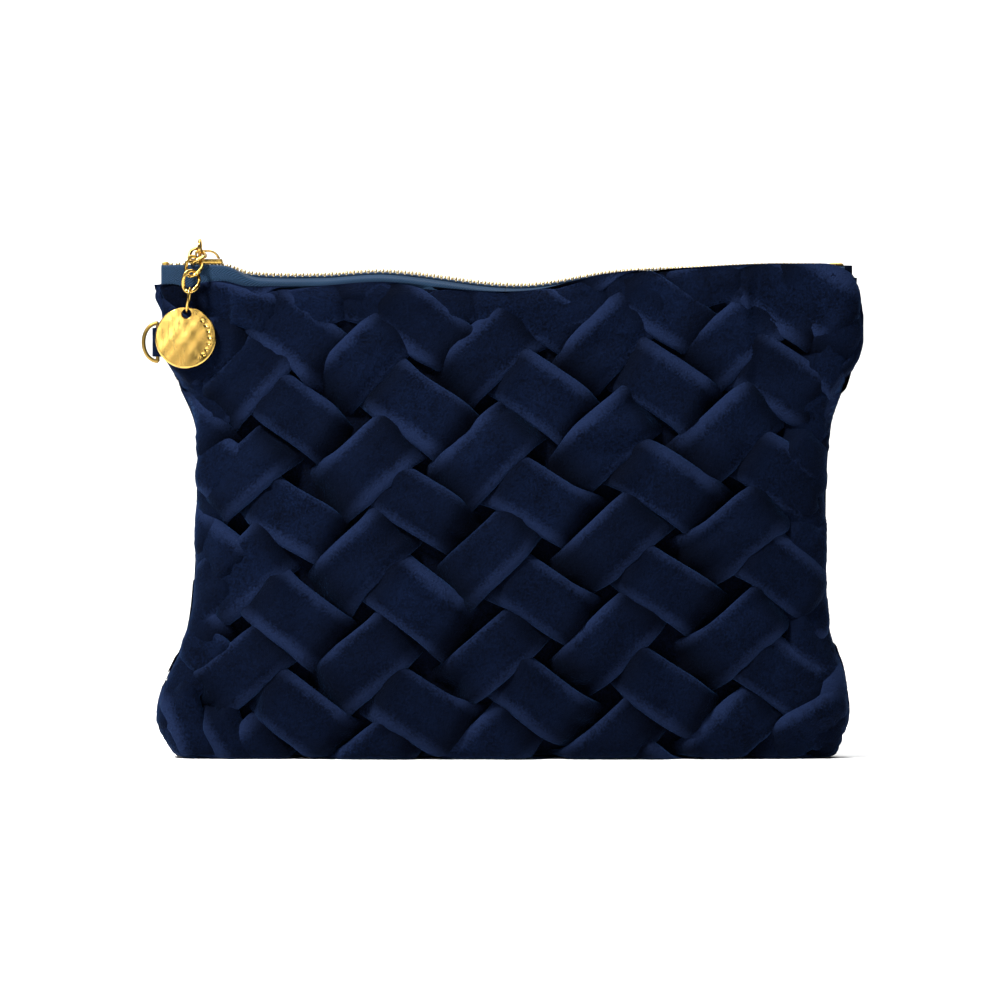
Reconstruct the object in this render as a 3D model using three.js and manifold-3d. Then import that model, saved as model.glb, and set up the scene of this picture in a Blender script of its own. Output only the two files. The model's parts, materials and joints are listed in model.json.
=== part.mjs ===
// A small zippered pouch of lattice-smocked velvet, standing on its base with the zip along the top.
// Millimetres, +Z up. The front faces -Y, and +X is to the right of someone who looks at the front.
// The origin is on the base plane, under the middle of the whole object's length.
import * as THREE from "three";
import { mergeVertices } from "three/addons/utils/BufferGeometryUtils.js";
import Module from "manifold-3d";

const wasm = await Module();
wasm.setup();

// ---------- Driving dimensions ----------

// The dimensions along X are measured from the middle of the velvet body. The D-ring stands out on one side
// only, so the middle of the whole object is this far to the left of there.
const ORIGIN_SHIFT = 2.15;
const GAP = 1; // between one layer of cloth and the next
const SEAM = 0.45; // from the middle plane to each wall along the seams

// The outline of the pouch, as [height, X of the side].
const LEFT_SIDE = smoothLine([
  [0, -107],
  [10, -111.5],
  [22, -110.5],
  [40, -103],
  [62, -100.5],
  [84, -100],
  [106, -100.5],
  [120, -106],
  [130, -109],
  [140, -109.2],
  [150, -112.3],
]);
const RIGHT_SIDE = smoothLine([
  [0, 106],
  [12, 109.5],
  [26, 108.5],
  [42, 104.5],
  [80, 103.5],
  [106, 105],
  [122, 110],
  [138, 112.5],
  [150, 112],
]);
// How far the velvet stands out from the middle plane, as [height, distance].
const WALL_DEPTH = smoothLine([
  [0, 12],
  [4, 15],
  [16, 18.5],
  [55, 21.5],
  [92, 18.5],
  [122, 12],
  [136, 8.4],
  [149, 7],
]);
// How thick the smocked velvet is, as [height, thickness].
const VELVET_THICKNESS = smoothLine([
  [0, 3],
  [14, 6],
  [104, 6],
  [128, 3],
  [149, 1.1],
]);
const VELVET_FLOOR = 3; // thickness under the pouch
const WADDING_THICKNESS = 2;
const WADDING_TOP = 122;
const WADDING_ROOM = 0.9; // spare room between the wadding and the lining
const LINING_THICKNESS = 0.6;
// How square the pouch is seen from above, as [height, exponent]. 2 is an ellipse.
const PLAN_SQUARENESS = smoothLine([
  [100, 2.1],
  [124, 2.4],
  [147, 14],
]);

// The height of the zip's middle along the pouch, as [X, height]. It dips where the cloth hangs slack.
const ZIP_HEIGHT = smoothLine([
  [-112, 157],
  [-101, 157.1],
  [-90, 156.8],
  [-82, 154.4],
  [-60, 153.9],
  [-38, 155],
  [4, 150.6],
  [34, 154.8],
  [62, 156.2],
  [88, 157.1],
  [112, 156.6],
]);
const ZIP_START = -110;
const ZIP_END = 108;
const TAPE_ROOM = 1; // left between the velvet and the lining for the tape
// The lining comes that near to the velvet between these two heights.
const LINING_DRAWN_OUT = [WADDING_TOP + 4, WADDING_TOP + 20];
const HEM_DROP = 8; // from the zip's middle down to the velvet's top edge
const LINING_DROP = 7.4;

const TAPE_THICKNESS = 0.6;
const TAPE_EDGE = 2.5; // from the middle plane to the tape's inner edge
const TAPE_FOLD = 4.5; // from the middle plane to where the tape turns down
const TAPE_FALL = 9.5; // how far it goes down from there
const TAPE_END_FALL = 7.4; // and at its two ends
const TAPE_END_FROM = 98; // the two ends begin this far from the middle
const TAPE_END_LENGTH = 9; // and reach their whole shortness over this
const TAPE_ROLL = 0.4; // how far before the fold the tape starts to turn
const TAPE_ROLL_DROP = 0.5; // and how far below it the turn ends

const TOOTH_PITCH = 2.33;
const TOOTH_LENGTH = 0.85; // along the zip
const TOOTH_HEAD = 0.6; // how far a tooth passes the middle plane
const TOOTH_HEEL = 2.05; // how far it reaches over its own tape
const TOOTH_HALF_HEIGHT = 0.95;
const FIRST_TOOTH = ZIP_START + 2.6;
const LAST_TOOTH_ROOM = 4; // kept free of teeth at the end, for the bottom stop
const TOOTH_COUNT = Math.floor((ZIP_END - LAST_TOOTH_ROOM - FIRST_TOOTH) / TOOTH_PITCH);
const CORD_EDGE = 1.05; // where the cord that joins the teeth begins
const ROW_PARTING = 1.0; // how far each row stands off beyond the closed zip
const STOP_HALF_HEIGHT = 1.3;
const STOP_HALF_DEPTH = 1.9; // of the one that joins both rows
const TOP_STOP_GAP = 0.1; // to the middle plane and to the end of the zip
const TOP_STOP_TO_TOOTH = 0.4;
const BOTTOM_STOP_TO_TOOTH = 0.6;

const SLIDER_X = -96;
const SLIDER_Z = ZIP_HEIGHT(SLIDER_X);
const SLIDER_LENGTH = 10.6;
const SLIDER_NOSE = 3.95; // half width at the wide end
const SLIDER_TAIL = 3.3; // half width at the narrow end
const PLATE_NEAR = 1.3; // from the zip's middle to a plate
const PLATE_FAR = 2.0;
const SLOT_HALF = 0.65; // the slot that the tape passes through
const FLANGE_WALL = 0.55;
const POST_HALF_WIDTH = 0.3;
const POST_MARGIN = 0.3; // from the slider's nose to the post between the rows
const POST_LENGTH = 1.8;
const WIDE_LENGTH = 2.3; // of the channel's mouth, from the nose to where it starts to narrow
const CORNER_ROUND = 1; // at the slider's nose
const TAIL_ROUND = 0.6; // at its tail
const SHOULDER = 5; // from the nose to where the sides start to bend in
const WAIST = 6.5; // from the nose to where they run straight again
const BRIDGE_WIDTH = 1;
const BRIDGE_BAR = 0.7; // thickness
const BRIDGE_INSIDE = 2.4; // clear height under it
const BRIDGE_FOOT_GAP = 0.3; // between its feet and the plate
const BRIDGE_NOSE_FOOT = -3.6; // where its feet stand along the slider
const BRIDGE_TAIL_FOOT = 4.6;
const BRIDGE_FOOT_LENGTH = 0.7; // at the nose
const BRIDGE_TAIL_FOOT_LENGTH = 1; // at the tail
const BRIDGE_FLAT = [-2.2, 0.6]; // where the straight top begins and ends
const BRIDGE_BEND = 1.2; // how far below the top its rounded corners start

const RING_RADIUS = 2.6; // to the middle of the wire
const RING_WIRE = 0.58; // radius
const RING_RISE = 5.5; // from the zip's middle up to the ring's middle
const RING_CENTRE = new THREE.Vector3(SLIDER_X - 1.9, -0.8, SLIDER_Z + RING_RISE);
const CHAIN_OFFSET = -0.3; // the chain's first hook is this far along from the ring's middle
const LINK_HALF_WIDTH = 2.5;
const LINK_HALF_HEIGHT = 3.45;
const LINK_TWIST = 0.85; // how far a link's wire weaves in front of and behind its own plane
const LINK_WIRE = 0.62; // radius
const LINK_GAP = 0.42; // between one link's wire and the next
const RING_GAP = 0.55; // between the ring's wire and the first link's
const JUMP_RING_HALF_HEIGHT = 3.9;
const JUMP_RING_HALF_WIDTH = 2.2;
const JUMP_RING_WIRE = 0.4;
const CHARM_RADIUS = 9.7;
const CHARM_THICKNESS = 1.1;
const CHARM_HOLE_RADIUS = 1.35;
const CHARM_HOLE_OFFSET = 7.7; // from the charm's middle

const RING_BAR_X = -111.4; // the straight side of the D-ring
const RING_BAR_Z = 132.7; // its middle
const D_RING_HALF_HEIGHT = 6.2;
const D_RING_REACH = 4.7;
const D_RING_WIRE = 0.65; // radius
const TAB_HALF_HEIGHT = 4.6;
const TAB_LOOP_INSIDE = 1.0;
const TAB_LOOP_OUTSIDE = 1.8;
const TAB_TAIL = 5.5;
const TAB_TAIL_HALF_THICKNESS = 0.12;
const TAB_TAIL_START = 1.3; // from the middle of the loop, inside its wall

// ---------- Materials ----------

const velvet = { color: 0x101c33, roughness: 0.95, metalness: 0 };
const wadding = { color: 0xdfe3e6, roughness: 1, metalness: 0 };
const lining = { color: 0x18243a, roughness: 0.6, metalness: 0 };
const webbing = { color: 0x1d3650, roughness: 0.85, metalness: 0 };
const brass = { color: 0xc9a24e, roughness: 0.25, metalness: 1 };

// ---------- Tools ----------

// A smooth line through [x, y] points: cubic pieces whose slope at a point is that of its neighbours' chord.
function smoothLine(points) {
  const last = points.length - 1;
  const slopes = points.map((_, i) => {
    const a = points[Math.max(i - 1, 0)];
    const b = points[Math.min(i + 1, last)];
    return (b[1] - a[1]) / (b[0] - a[0]);
  });
  return (at) => {
    const x = THREE.MathUtils.clamp(at, points[0][0], points[last][0]);
    const i = Math.min(Math.max(points.findIndex((p) => p[0] > x), 1), last) - 1;
    const first = x >= points[last][0] ? last - 1 : i;
    const [x0, y0] = points[first];
    const [x1, y1] = points[first + 1];
    const span = x1 - x0;
    const t = (x - x0) / span;
    const t2 = t * t;
    const t3 = t2 * t;
    const rise = slopes[first] * (t3 - 2 * t2 + t) + slopes[first + 1] * (t3 - t2);
    return y0 * (2 * t3 - 3 * t2 + 1) + y1 * (3 * t2 - 2 * t3) + rise * span;
  };
}

// A closed geometry as a solid that can be joined and cut.
function solidOf(geometry) {
  const bare = geometry.clone();
  bare.deleteAttribute("normal");
  bare.deleteAttribute("uv");
  const merged = mergeVertices(bare, 1e-4);
  const mesh = new wasm.Mesh({
    numProp: 3,
    vertProperties: new Float32Array(merged.attributes.position.array),
    triVerts: new Uint32Array(merged.index.array),
  });
  return new wasm.Manifold(mesh);
}

function geometryOf(solid) {
  const { vertProperties, triVerts, numProp } = solid.getMesh();
  const geometry = new THREE.BufferGeometry();
  const interleaved = new THREE.InterleavedBuffer(vertProperties, numProp);
  geometry.setAttribute("position", new THREE.InterleavedBufferAttribute(interleaved, 3, 0));
  geometry.setIndex(new THREE.BufferAttribute(triVerts, 1));
  const plain = geometry.toNonIndexed();
  plain.computeVertexNormals();
  return plain;
}

const joined = (geometries) => geometryOf(geometries.map(solidOf).reduce((a, b) => a.add(b)));

const part = new THREE.Group();
part.position.x = ORIGIN_SHIFT;

// Adds a named piece made of one material.
function add(name, geometry, material, parent = part) {
  const mesh = new THREE.Mesh(geometry, new THREE.MeshStandardMaterial(material));
  mesh.name = name;
  parent.add(mesh);
  return mesh;
}

// A box with the given divisions whose points, each from 0 to 1 along the three ways, are moved by a rule.
function shapedBox(divisions, rule) {
  const box = new THREE.BoxGeometry(1, 1, 1, ...divisions);
  const place = box.attributes.position;
  for (let i = 0; i < place.count; i++) {
    const [x, y, z] = rule(place.getX(i) + 0.5, place.getY(i) + 0.5, place.getZ(i) + 0.5);
    place.setXYZ(i, x, y, z);
  }
  return geometryOf(solidOf(box));
}

function rectangle(x0, x1, y0, y1) {
  return new THREE.Shape([
    new THREE.Vector2(x0, y0),
    new THREE.Vector2(x1, y0),
    new THREE.Vector2(x1, y1),
    new THREE.Vector2(x0, y1),
  ]);
}

// A flat outline in X and Y, made solid between two heights.
function slab(shape, z0, z1, curveSegments = 12) {
  const depth = z1 - z0;
  const geometry = new THREE.ExtrudeGeometry(shape, { depth, bevelEnabled: false, curveSegments });
  return geometry.translate(0, 0, z0);
}

// ---------- Cloth walls ----------

// A surface of the pouch: the velvet's outside moved inwards by inset(height), with its floor and top given.
// Across goes from 0 at the left side to 1 at the right. Up goes from 0 at the bottom seam to 1 at the top.
const WALL_COLUMNS = 16;
const WALL_ROWS = 14;
const FLOOR_SHARE = 2 / WALL_ROWS; // the share of "up" that is spent on the floor
const SEAM_SHORTENING = 0.05; // how much shorter the bottom seam is than the base

function surface({ floor, top, inset }) {
  return (across, up) => {
    const angle = (across - 0.5) * Math.PI;
    const sideways = Math.sin(angle);
    const onFloor = up < FLOOR_SHARE;
    const outwards = onFloor ? up / FLOOR_SHARE : 1;
    const climb = onFloor ? 0 : (up - FLOOR_SHARE) / (1 - FLOOR_SHARE);
    const z = floor + (top(sideways * ZIP_END) - floor) * climb;
    const left = LEFT_SIDE(z) + inset(z);
    const right = RIGHT_SIDE(z) - inset(z);
    const shortening = 1 - SEAM_SHORTENING * (1 - outwards);
    const x = (left + right) / 2 + ((right - left) / 2) * sideways * shortening;
    const squareness = PLAN_SQUARENESS(z);
    const forward = Math.max(1 - Math.abs(sideways) ** squareness, 0) ** (1 / squareness);
    const depth = Math.max((WALL_DEPTH(z) - inset(z)) * forward, SEAM);
    return { x, depth: SEAM + (depth - SEAM) * outwards, z };
  };
}

// The cloth between an outer and an inner surface. Side is -1 for the front wall and 1 for the back wall.
function wall(side, outer, inner) {
  return shapedBox([WALL_COLUMNS, 1, WALL_ROWS], (across, through, up) => {
    const isOuter = side < 0 ? through < 0.5 : through > 0.5;
    const point = (isOuter ? outer : inner)(across, up);
    return [point.x, side * point.depth, point.z];
  });
}

const hemHeight = (x) => ZIP_HEIGHT(x) - HEM_DROP;
const liningHeight = (x) => ZIP_HEIGHT(x) - LINING_DROP;
const waddingHeight = () => WADDING_TOP;
const underVelvet = (z) => VELVET_THICKNESS(z) + GAP;
const underWadding = (z) => {
  const share = THREE.MathUtils.smoothstep(z, ...LINING_DRAWN_OUT);
  return underVelvet(z) + THREE.MathUtils.lerp(WADDING_THICKNESS + GAP + WADDING_ROOM, TAPE_ROOM, share);
};

const velvetOutside = surface({ floor: 0, top: hemHeight, inset: () => 0 });
const velvetInside = surface({ floor: VELVET_FLOOR, top: hemHeight, inset: VELVET_THICKNESS });
const waddingOutside = surface({
  floor: VELVET_FLOOR + GAP,
  top: waddingHeight,
  inset: underVelvet,
});
const waddingInside = surface({
  floor: VELVET_FLOOR + GAP + WADDING_THICKNESS,
  top: waddingHeight,
  inset: (z) => underVelvet(z) + WADDING_THICKNESS,
});
const liningFloor = VELVET_FLOOR + WADDING_THICKNESS + 2 * GAP;
const liningOutside = surface({ floor: liningFloor, top: liningHeight, inset: underWadding });
const liningInside = surface({
  floor: liningFloor + LINING_THICKNESS,
  top: liningHeight,
  inset: (z) => underWadding(z) + LINING_THICKNESS,
});

for (const [name, side] of [
  ["front", -1],
  ["back", 1],
]) {
  add(`${name}_panel`, wall(side, velvetOutside, velvetInside), velvet);
  add(`${name}_wadding`, wall(side, waddingOutside, waddingInside), wadding);
  add(`${name}_lining`, wall(side, liningOutside, liningInside), lining);
}

// ---------- Zip ----------

// The rows part inside the slider, between these two shares of its length.
const PARTED_SHARE = -0.4;
const CLOSED_SHARE = 0.2;

// How far each row stands off the middle plane: nothing in the closed zip, the whole parting at the start.
function parting(x) {
  const closedFrom = SLIDER_X + SLIDER_LENGTH * CLOSED_SHARE;
  const partedFrom = SLIDER_X + SLIDER_LENGTH * PARTED_SHARE;
  return ROW_PARTING * (1 - THREE.MathUtils.smoothstep(x, partedFrom, closedFrom));
}

const TAPE_COLUMNS = 64;
const TAPE_STRIPS = 4;

// A woven tape: flat beside the teeth, then turned down between the velvet and the lining.
function tape(side) {
  return shapedBox([TAPE_COLUMNS, 1, TAPE_STRIPS], (along, through, across) => {
    const x = THREE.MathUtils.lerp(ZIP_START, ZIP_END, along);
    const middle = ZIP_HEIGHT(x);
    const edge = TAPE_EDGE + parting(x);
    const half = (side < 0 ? 0.5 - through : through - 0.5) * TAPE_THICKNESS;
    const toEnd = THREE.MathUtils.smoothstep(
      Math.abs(x),
      TAPE_END_FROM,
      TAPE_END_FROM + TAPE_END_LENGTH,
    );
    const fall = THREE.MathUtils.lerp(TAPE_FALL, TAPE_END_FALL, toEnd);
    // The four strips of the section: one flat, one round the fold, and two down.
    const section = [
      [edge, half],
      [TAPE_FOLD - TAPE_ROLL + half * TAPE_ROLL, half],
      [TAPE_FOLD + half, -TAPE_ROLL_DROP],
      [TAPE_FOLD + half, -fall / 2],
      [TAPE_FOLD + half, -fall],
    ];
    const [depth, drop] = section[Math.round((1 - across) * TAPE_STRIPS)];
    return [x, side * depth, middle + drop];
  });
}

// One tooth and the stretch of cord that joins it to the next.
function tooth(side, x, isLast) {
  const end = x + (isLast ? TOOTH_LENGTH : TOOTH_PITCH);
  const outline = [
    [x, TOOTH_HEEL],
    [x, -TOOTH_HEAD],
    [x + TOOTH_LENGTH, -TOOTH_HEAD],
    [x + TOOTH_LENGTH, CORD_EDGE],
    [end, CORD_EDGE],
    [end, TOOTH_HEEL],
  ];
  const shape = new THREE.Shape(outline.map(([along, depth]) => new THREE.Vector2(along, side * depth)));
  const block = slab(shape, -TOOTH_HALF_HEIGHT, TOOTH_HALF_HEIGHT);
  const place = block.attributes.position;
  for (let i = 0; i < place.count; i++) {
    const at = place.getX(i);
    place.setY(i, place.getY(i) + side * parting(at));
    place.setZ(i, place.getZ(i) + ZIP_HEIGHT(at));
  }
  return block;
}

// A row of teeth on its cord. Start is where its first tooth begins.
function teeth(side, start) {
  const places = Array.from({ length: TOOTH_COUNT }, (_, i) => start + i * TOOTH_PITCH);
  return joined(places.map((x, i) => tooth(side, x, i === TOOTH_COUNT - 1)));
}

add("front_zip_tape", tape(-1), webbing);
add("back_zip_tape", tape(1), webbing);
add("front_teeth", teeth(-1, FIRST_TOOTH), brass);
add("back_teeth", teeth(1, FIRST_TOOTH + TOOTH_PITCH / 2), brass);

// A metal clip of the given outline at a place along the zip.
const stopBlock = (shape, x) =>
  slab(shape, -STOP_HALF_HEIGHT, STOP_HALF_HEIGHT).translate(0, 0, ZIP_HEIGHT(x));

// The clip at the start of one row.
function topStop(side) {
  const near = ROW_PARTING + TOP_STOP_GAP;
  const far = TOOTH_HEEL + ROW_PARTING;
  const x0 = ZIP_START + TOP_STOP_GAP;
  const x1 = FIRST_TOOTH - TOP_STOP_TO_TOOTH;
  const shape = rectangle(x0, x1, side < 0 ? -far : near, side < 0 ? -near : far);
  return stopBlock(shape, ZIP_START);
}
add("front_top_stop", topStop(-1), brass);
add("back_top_stop", topStop(1), brass);

const stopStart = FIRST_TOOTH + TOOTH_COUNT * TOOTH_PITCH + BOTTOM_STOP_TO_TOOTH;
const bottomStop = rectangle(stopStart, ZIP_END, -STOP_HALF_DEPTH, STOP_HALF_DEPTH);
add("bottom_stop", stopBlock(bottomStop, ZIP_END), brass);

// ---------- Slider ----------

// The slider's outline seen from above, drawn in by a margin. Its wide end faces the start of the zip.
function sliderOutline(margin) {
  const nose = -SLIDER_LENGTH / 2;
  const tail = SLIDER_LENGTH / 2;
  const wide = SLIDER_NOSE - margin;
  const narrow = SLIDER_TAIL - margin;
  const shape = new THREE.Shape();
  shape.moveTo(nose, -wide + CORNER_ROUND);
  shape.quadraticCurveTo(nose, -wide, nose + CORNER_ROUND, -wide);
  shape.quadraticCurveTo(nose + SHOULDER, -wide, nose + WAIST, -narrow);
  shape.lineTo(tail - TAIL_ROUND, -narrow);
  shape.quadraticCurveTo(tail, -narrow, tail, -narrow + TAIL_ROUND);
  shape.lineTo(tail, narrow - TAIL_ROUND);
  shape.quadraticCurveTo(tail, narrow, tail - TAIL_ROUND, narrow);
  shape.lineTo(nose + WAIST, narrow);
  shape.quadraticCurveTo(nose + SHOULDER, wide, nose + CORNER_ROUND, wide);
  shape.quadraticCurveTo(nose, wide, nose, wide - CORNER_ROUND);
  return shape;
}

function sliderBody() {
  const outline = sliderOutline(0);
  const channel = sliderOutline(FLANGE_WALL);
  const reach = SLIDER_LENGTH; // anything past both ends
  const nose = -SLIDER_LENGTH / 2;
  const tailInside = SLIDER_TAIL - FLANGE_WALL;
  const noseInside = SLIDER_NOSE - FLANGE_WALL;
  const throughWay = rectangle(-reach, reach, -tailInside, tailInside);
  const mouth = rectangle(-reach, nose + WIDE_LENGTH, -noseInside, noseInside);
  const slots = slab(rectangle(-reach, reach, -reach, reach), -SLOT_HALF, SLOT_HALF);
  const postStart = nose + POST_MARGIN;
  const post = rectangle(postStart, postStart + POST_LENGTH, -POST_HALF_WIDTH, POST_HALF_WIDTH);
  const hollow = [channel, throughWay, mouth]
    .map((shape) => solidOf(slab(shape, -PLATE_NEAR, PLATE_NEAR, 4)))
    .reduce((a, b) => a.add(b))
    .add(solidOf(slots));
  const block = solidOf(slab(outline, -PLATE_FAR, PLATE_FAR, 4));
  return geometryOf(block.subtract(hollow).add(solidOf(slab(post, -PLATE_FAR, PLATE_FAR))));
}

// The arch over the top plate that the pull hangs on, drawn in X and Z.
function sliderBridge() {
  const foot = PLATE_FAR + BRIDGE_FOOT_GAP;
  const low = PLATE_FAR + BRIDGE_INSIDE;
  const high = low + BRIDGE_BAR;
  const nose = BRIDGE_NOSE_FOOT;
  const tail = BRIDGE_TAIL_FOOT;
  const noseInside = nose + BRIDGE_FOOT_LENGTH;
  const tailInside = tail - BRIDGE_TAIL_FOOT_LENGTH;
  const [flatStart, flatEnd] = BRIDGE_FLAT;
  const arch = new THREE.Shape();
  arch.moveTo(nose, foot);
  arch.lineTo(nose, high - BRIDGE_BEND);
  arch.quadraticCurveTo(nose, high, flatStart, high);
  arch.lineTo(flatEnd, high);
  arch.quadraticCurveTo(tail - BRIDGE_BEND, high, tail, foot);
  arch.lineTo(tailInside, foot);
  arch.quadraticCurveTo(tailInside - BRIDGE_BAR, low, flatEnd, low);
  arch.lineTo(flatStart, low);
  arch.lineTo(noseInside, high - BRIDGE_BEND);
  arch.lineTo(noseInside, foot);
  return geometryOf(solidOf(slab(arch, -BRIDGE_WIDTH / 2, BRIDGE_WIDTH / 2, 6).rotateX(Math.PI / 2)));
}

const slider = new THREE.Group();
slider.position.set(SLIDER_X, 0, SLIDER_Z);
part.add(slider);
add("slider_body", sliderBody(), brass, slider);
add("slider_bridge", sliderBridge(), brass, slider);

// ---------- Pull and charm ----------

// A wire of round section bent into a closed loop, whose points are a function of the angle round it.
class Loop extends THREE.Curve {
  constructor(pointAt) {
    super();
    this.pointAt = pointAt;
  }
  getPoint(share, target = new THREE.Vector3()) {
    return target.copy(this.pointAt(share * 2 * Math.PI));
  }
}

function wireLoop(pointAt, wire, steps, sides) {
  return geometryOf(solidOf(new THREE.TubeGeometry(new Loop(pointAt), steps, wire, sides, true)));
}

// A link of curb chain in X and Z. Its wire weaves back and forth so that neighbours can lie flat.
function curbLink() {
  const pointAt = (angle) =>
    new THREE.Vector3(
      LINK_HALF_WIDTH * Math.cos(angle),
      LINK_TWIST * Math.sin(2 * angle),
      LINK_HALF_HEIGHT * Math.sin(angle),
    );
  return wireLoop(pointAt, LINK_WIRE, 28, 6);
}

const ring = new THREE.TorusGeometry(RING_RADIUS, RING_WIRE, 8, 24).rotateY(Math.PI / 2);
const pullRing = add("pull_ring", geometryOf(solidOf(ring)), brass);
pullRing.position.copy(RING_CENTRE);

// Each piece of the chain hangs from a point, leans outwards by a tilt and sideways by a turn, in degrees.
// Its hook is the distance from the wire that it hangs on down to its own lowest wire.
const LINK_HOOK = 2 * LINK_HALF_HEIGHT - 2 * LINK_WIRE - LINK_GAP;
const HOOK_ANGLE = Math.PI / 5; // how far below its front the ring carries the chain
const chainStart = RING_CENTRE.clone().add(
  new THREE.Vector3(
    CHAIN_OFFSET,
    -RING_RADIUS * Math.cos(HOOK_ANGLE),
    -RING_RADIUS * Math.sin(HOOK_ANGLE),
  ),
);
const LINK_LEANS = [
  { tilt: 54, turn: 10 },
  { tilt: 24, turn: 8 },
  { tilt: 10, turn: 8 },
];
const JUMP_RING_LEAN = { tilt: 0, turn: 8 };
const CHARM_TURN = 2;

function hangingFrame({ tilt, turn }, from) {
  const frame = new THREE.Group();
  frame.position.copy(from);
  const radians = THREE.MathUtils.degToRad;
  frame.rotation.set(-radians(tilt), radians(turn), 0);
  frame.updateMatrix();
  part.add(frame);
  return frame;
}

const below = (frame, distance) => new THREE.Vector3(0, 0, -distance).applyMatrix4(frame.matrix);

let pivot = chainStart;
LINK_LEANS.forEach((lean, i) => {
  const frame = hangingFrame(lean, pivot);
  const link = add(`chain_link_${i + 1}`, curbLink(), brass, frame);
  const clearAbove = i === 0 ? RING_WIRE + RING_GAP : LINK_WIRE + LINK_GAP;
  link.position.z = clearAbove + LINK_WIRE - LINK_HALF_HEIGHT;
  pivot = below(frame, LINK_HOOK);
});

const jumpFrame = hangingFrame(JUMP_RING_LEAN, pivot);
const jumpPoint = (angle) =>
  new THREE.Vector3(
    0,
    JUMP_RING_HALF_WIDTH * Math.cos(angle),
    JUMP_RING_HALF_HEIGHT * Math.sin(angle),
  );
const jumpRing = add("jump_ring", wireLoop(jumpPoint, JUMP_RING_WIRE, 24, 6), brass, jumpFrame);
const jumpSlack = LINK_WIRE + JUMP_RING_WIRE + LINK_GAP;
jumpRing.position.z = jumpSlack - JUMP_RING_HALF_HEIGHT;
pivot = below(jumpFrame, 2 * JUMP_RING_HALF_HEIGHT - jumpSlack);

function charm() {
  const disc = new THREE.Shape().absarc(0, 0, CHARM_RADIUS, 0, 2 * Math.PI);
  disc.holes.push(new THREE.Path().absarc(0, CHARM_HOLE_OFFSET, CHARM_HOLE_RADIUS, 0, 2 * Math.PI));
  const flat = slab(disc, -CHARM_THICKNESS / 2, CHARM_THICKNESS / 2, 24);
  return geometryOf(solidOf(flat.rotateX(Math.PI / 2)));
}
const charmFrame = hangingFrame({ tilt: 0, turn: CHARM_TURN }, pivot);
const coin = add("charm", charm(), brass, charmFrame);
// The jump ring's wire is just clear of the upper edge of the hole.
const holeSlack = CHARM_HOLE_RADIUS - JUMP_RING_WIRE - LINK_GAP;
coin.position.z = -holeSlack - CHARM_HOLE_OFFSET;

// ---------- D-ring and its tab ----------

function dRing() {
  const pointAt = (angle) => {
    const out = Math.cos(angle);
    const reach = out < 0 ? D_RING_REACH * -out : 0;
    return new THREE.Vector3(-reach, 0, D_RING_HALF_HEIGHT * Math.sin(angle));
  };
  return wireLoop(pointAt, D_RING_WIRE, 36, 6);
}
const dRingMesh = add("d_ring", dRing(), brass);
dRingMesh.position.set(RING_BAR_X, 0, RING_BAR_Z);

// A strip of velvet folded round the D-ring's straight side, with its tail in the side seam.
function sideTab() {
  const shape = new THREE.Shape().absarc(0, 0, TAB_LOOP_OUTSIDE, 0, 2 * Math.PI);
  shape.holes.push(new THREE.Path().absarc(0, 0, TAB_LOOP_INSIDE, 0, 2 * Math.PI));
  const loop = slab(shape, -TAB_HALF_HEIGHT, TAB_HALF_HEIGHT, 8);
  const tail = rectangle(
    TAB_TAIL_START,
    TAB_LOOP_OUTSIDE + TAB_TAIL,
    -TAB_TAIL_HALF_THICKNESS,
    TAB_TAIL_HALF_THICKNESS,
  );
  return joined([loop, slab(tail, -TAB_HALF_HEIGHT, TAB_HALF_HEIGHT)]);
}
const tab = add("side_tab", sideTab(), velvet);
tab.position.set(RING_BAR_X, 0, RING_BAR_Z);

export default part;
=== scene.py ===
"""Builds the looks of a small zippered pouch of lattice-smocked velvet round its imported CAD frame.

Points and lengths in the formulas are millimetres, measured as the CAD measures them: X from the middle of
the velvet body, -Y out of the front, Z up from the base. place() turns points into the shared frame's metres.
"""

import json

import bmesh
import bpy
import numpy as np
from bpy.props import FloatProperty, FloatVectorProperty, IntProperty, PointerProperty
from bpy.types import Operator, Panel, PropertyGroup
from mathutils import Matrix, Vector


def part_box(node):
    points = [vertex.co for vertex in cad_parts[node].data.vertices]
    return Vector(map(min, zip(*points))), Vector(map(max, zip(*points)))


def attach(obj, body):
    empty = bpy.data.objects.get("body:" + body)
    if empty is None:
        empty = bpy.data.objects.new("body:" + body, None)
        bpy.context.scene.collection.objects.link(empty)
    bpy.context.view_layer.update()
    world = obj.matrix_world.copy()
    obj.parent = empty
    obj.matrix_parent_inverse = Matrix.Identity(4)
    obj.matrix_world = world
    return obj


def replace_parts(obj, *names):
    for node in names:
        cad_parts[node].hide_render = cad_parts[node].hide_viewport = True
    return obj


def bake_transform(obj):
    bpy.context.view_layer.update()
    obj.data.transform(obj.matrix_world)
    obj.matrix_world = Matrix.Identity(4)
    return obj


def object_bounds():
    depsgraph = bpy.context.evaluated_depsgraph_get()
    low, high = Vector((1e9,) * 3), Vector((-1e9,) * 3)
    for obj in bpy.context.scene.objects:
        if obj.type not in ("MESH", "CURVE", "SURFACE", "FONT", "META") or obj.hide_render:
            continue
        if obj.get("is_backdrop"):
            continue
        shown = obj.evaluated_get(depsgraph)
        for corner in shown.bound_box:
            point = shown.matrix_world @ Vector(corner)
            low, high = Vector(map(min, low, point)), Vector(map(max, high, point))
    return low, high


bl_info = {
    "name": "Smocked Velvet Pouch",
    "version": (1, 0, 0),
    "blender": (4, 5, 0),
    "location": "3D View > Sidebar > Pouch",
    "description": "Builds a zippered pouch of lattice-smocked velvet, piece by piece",
    "category": "Add Mesh",
}

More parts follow.
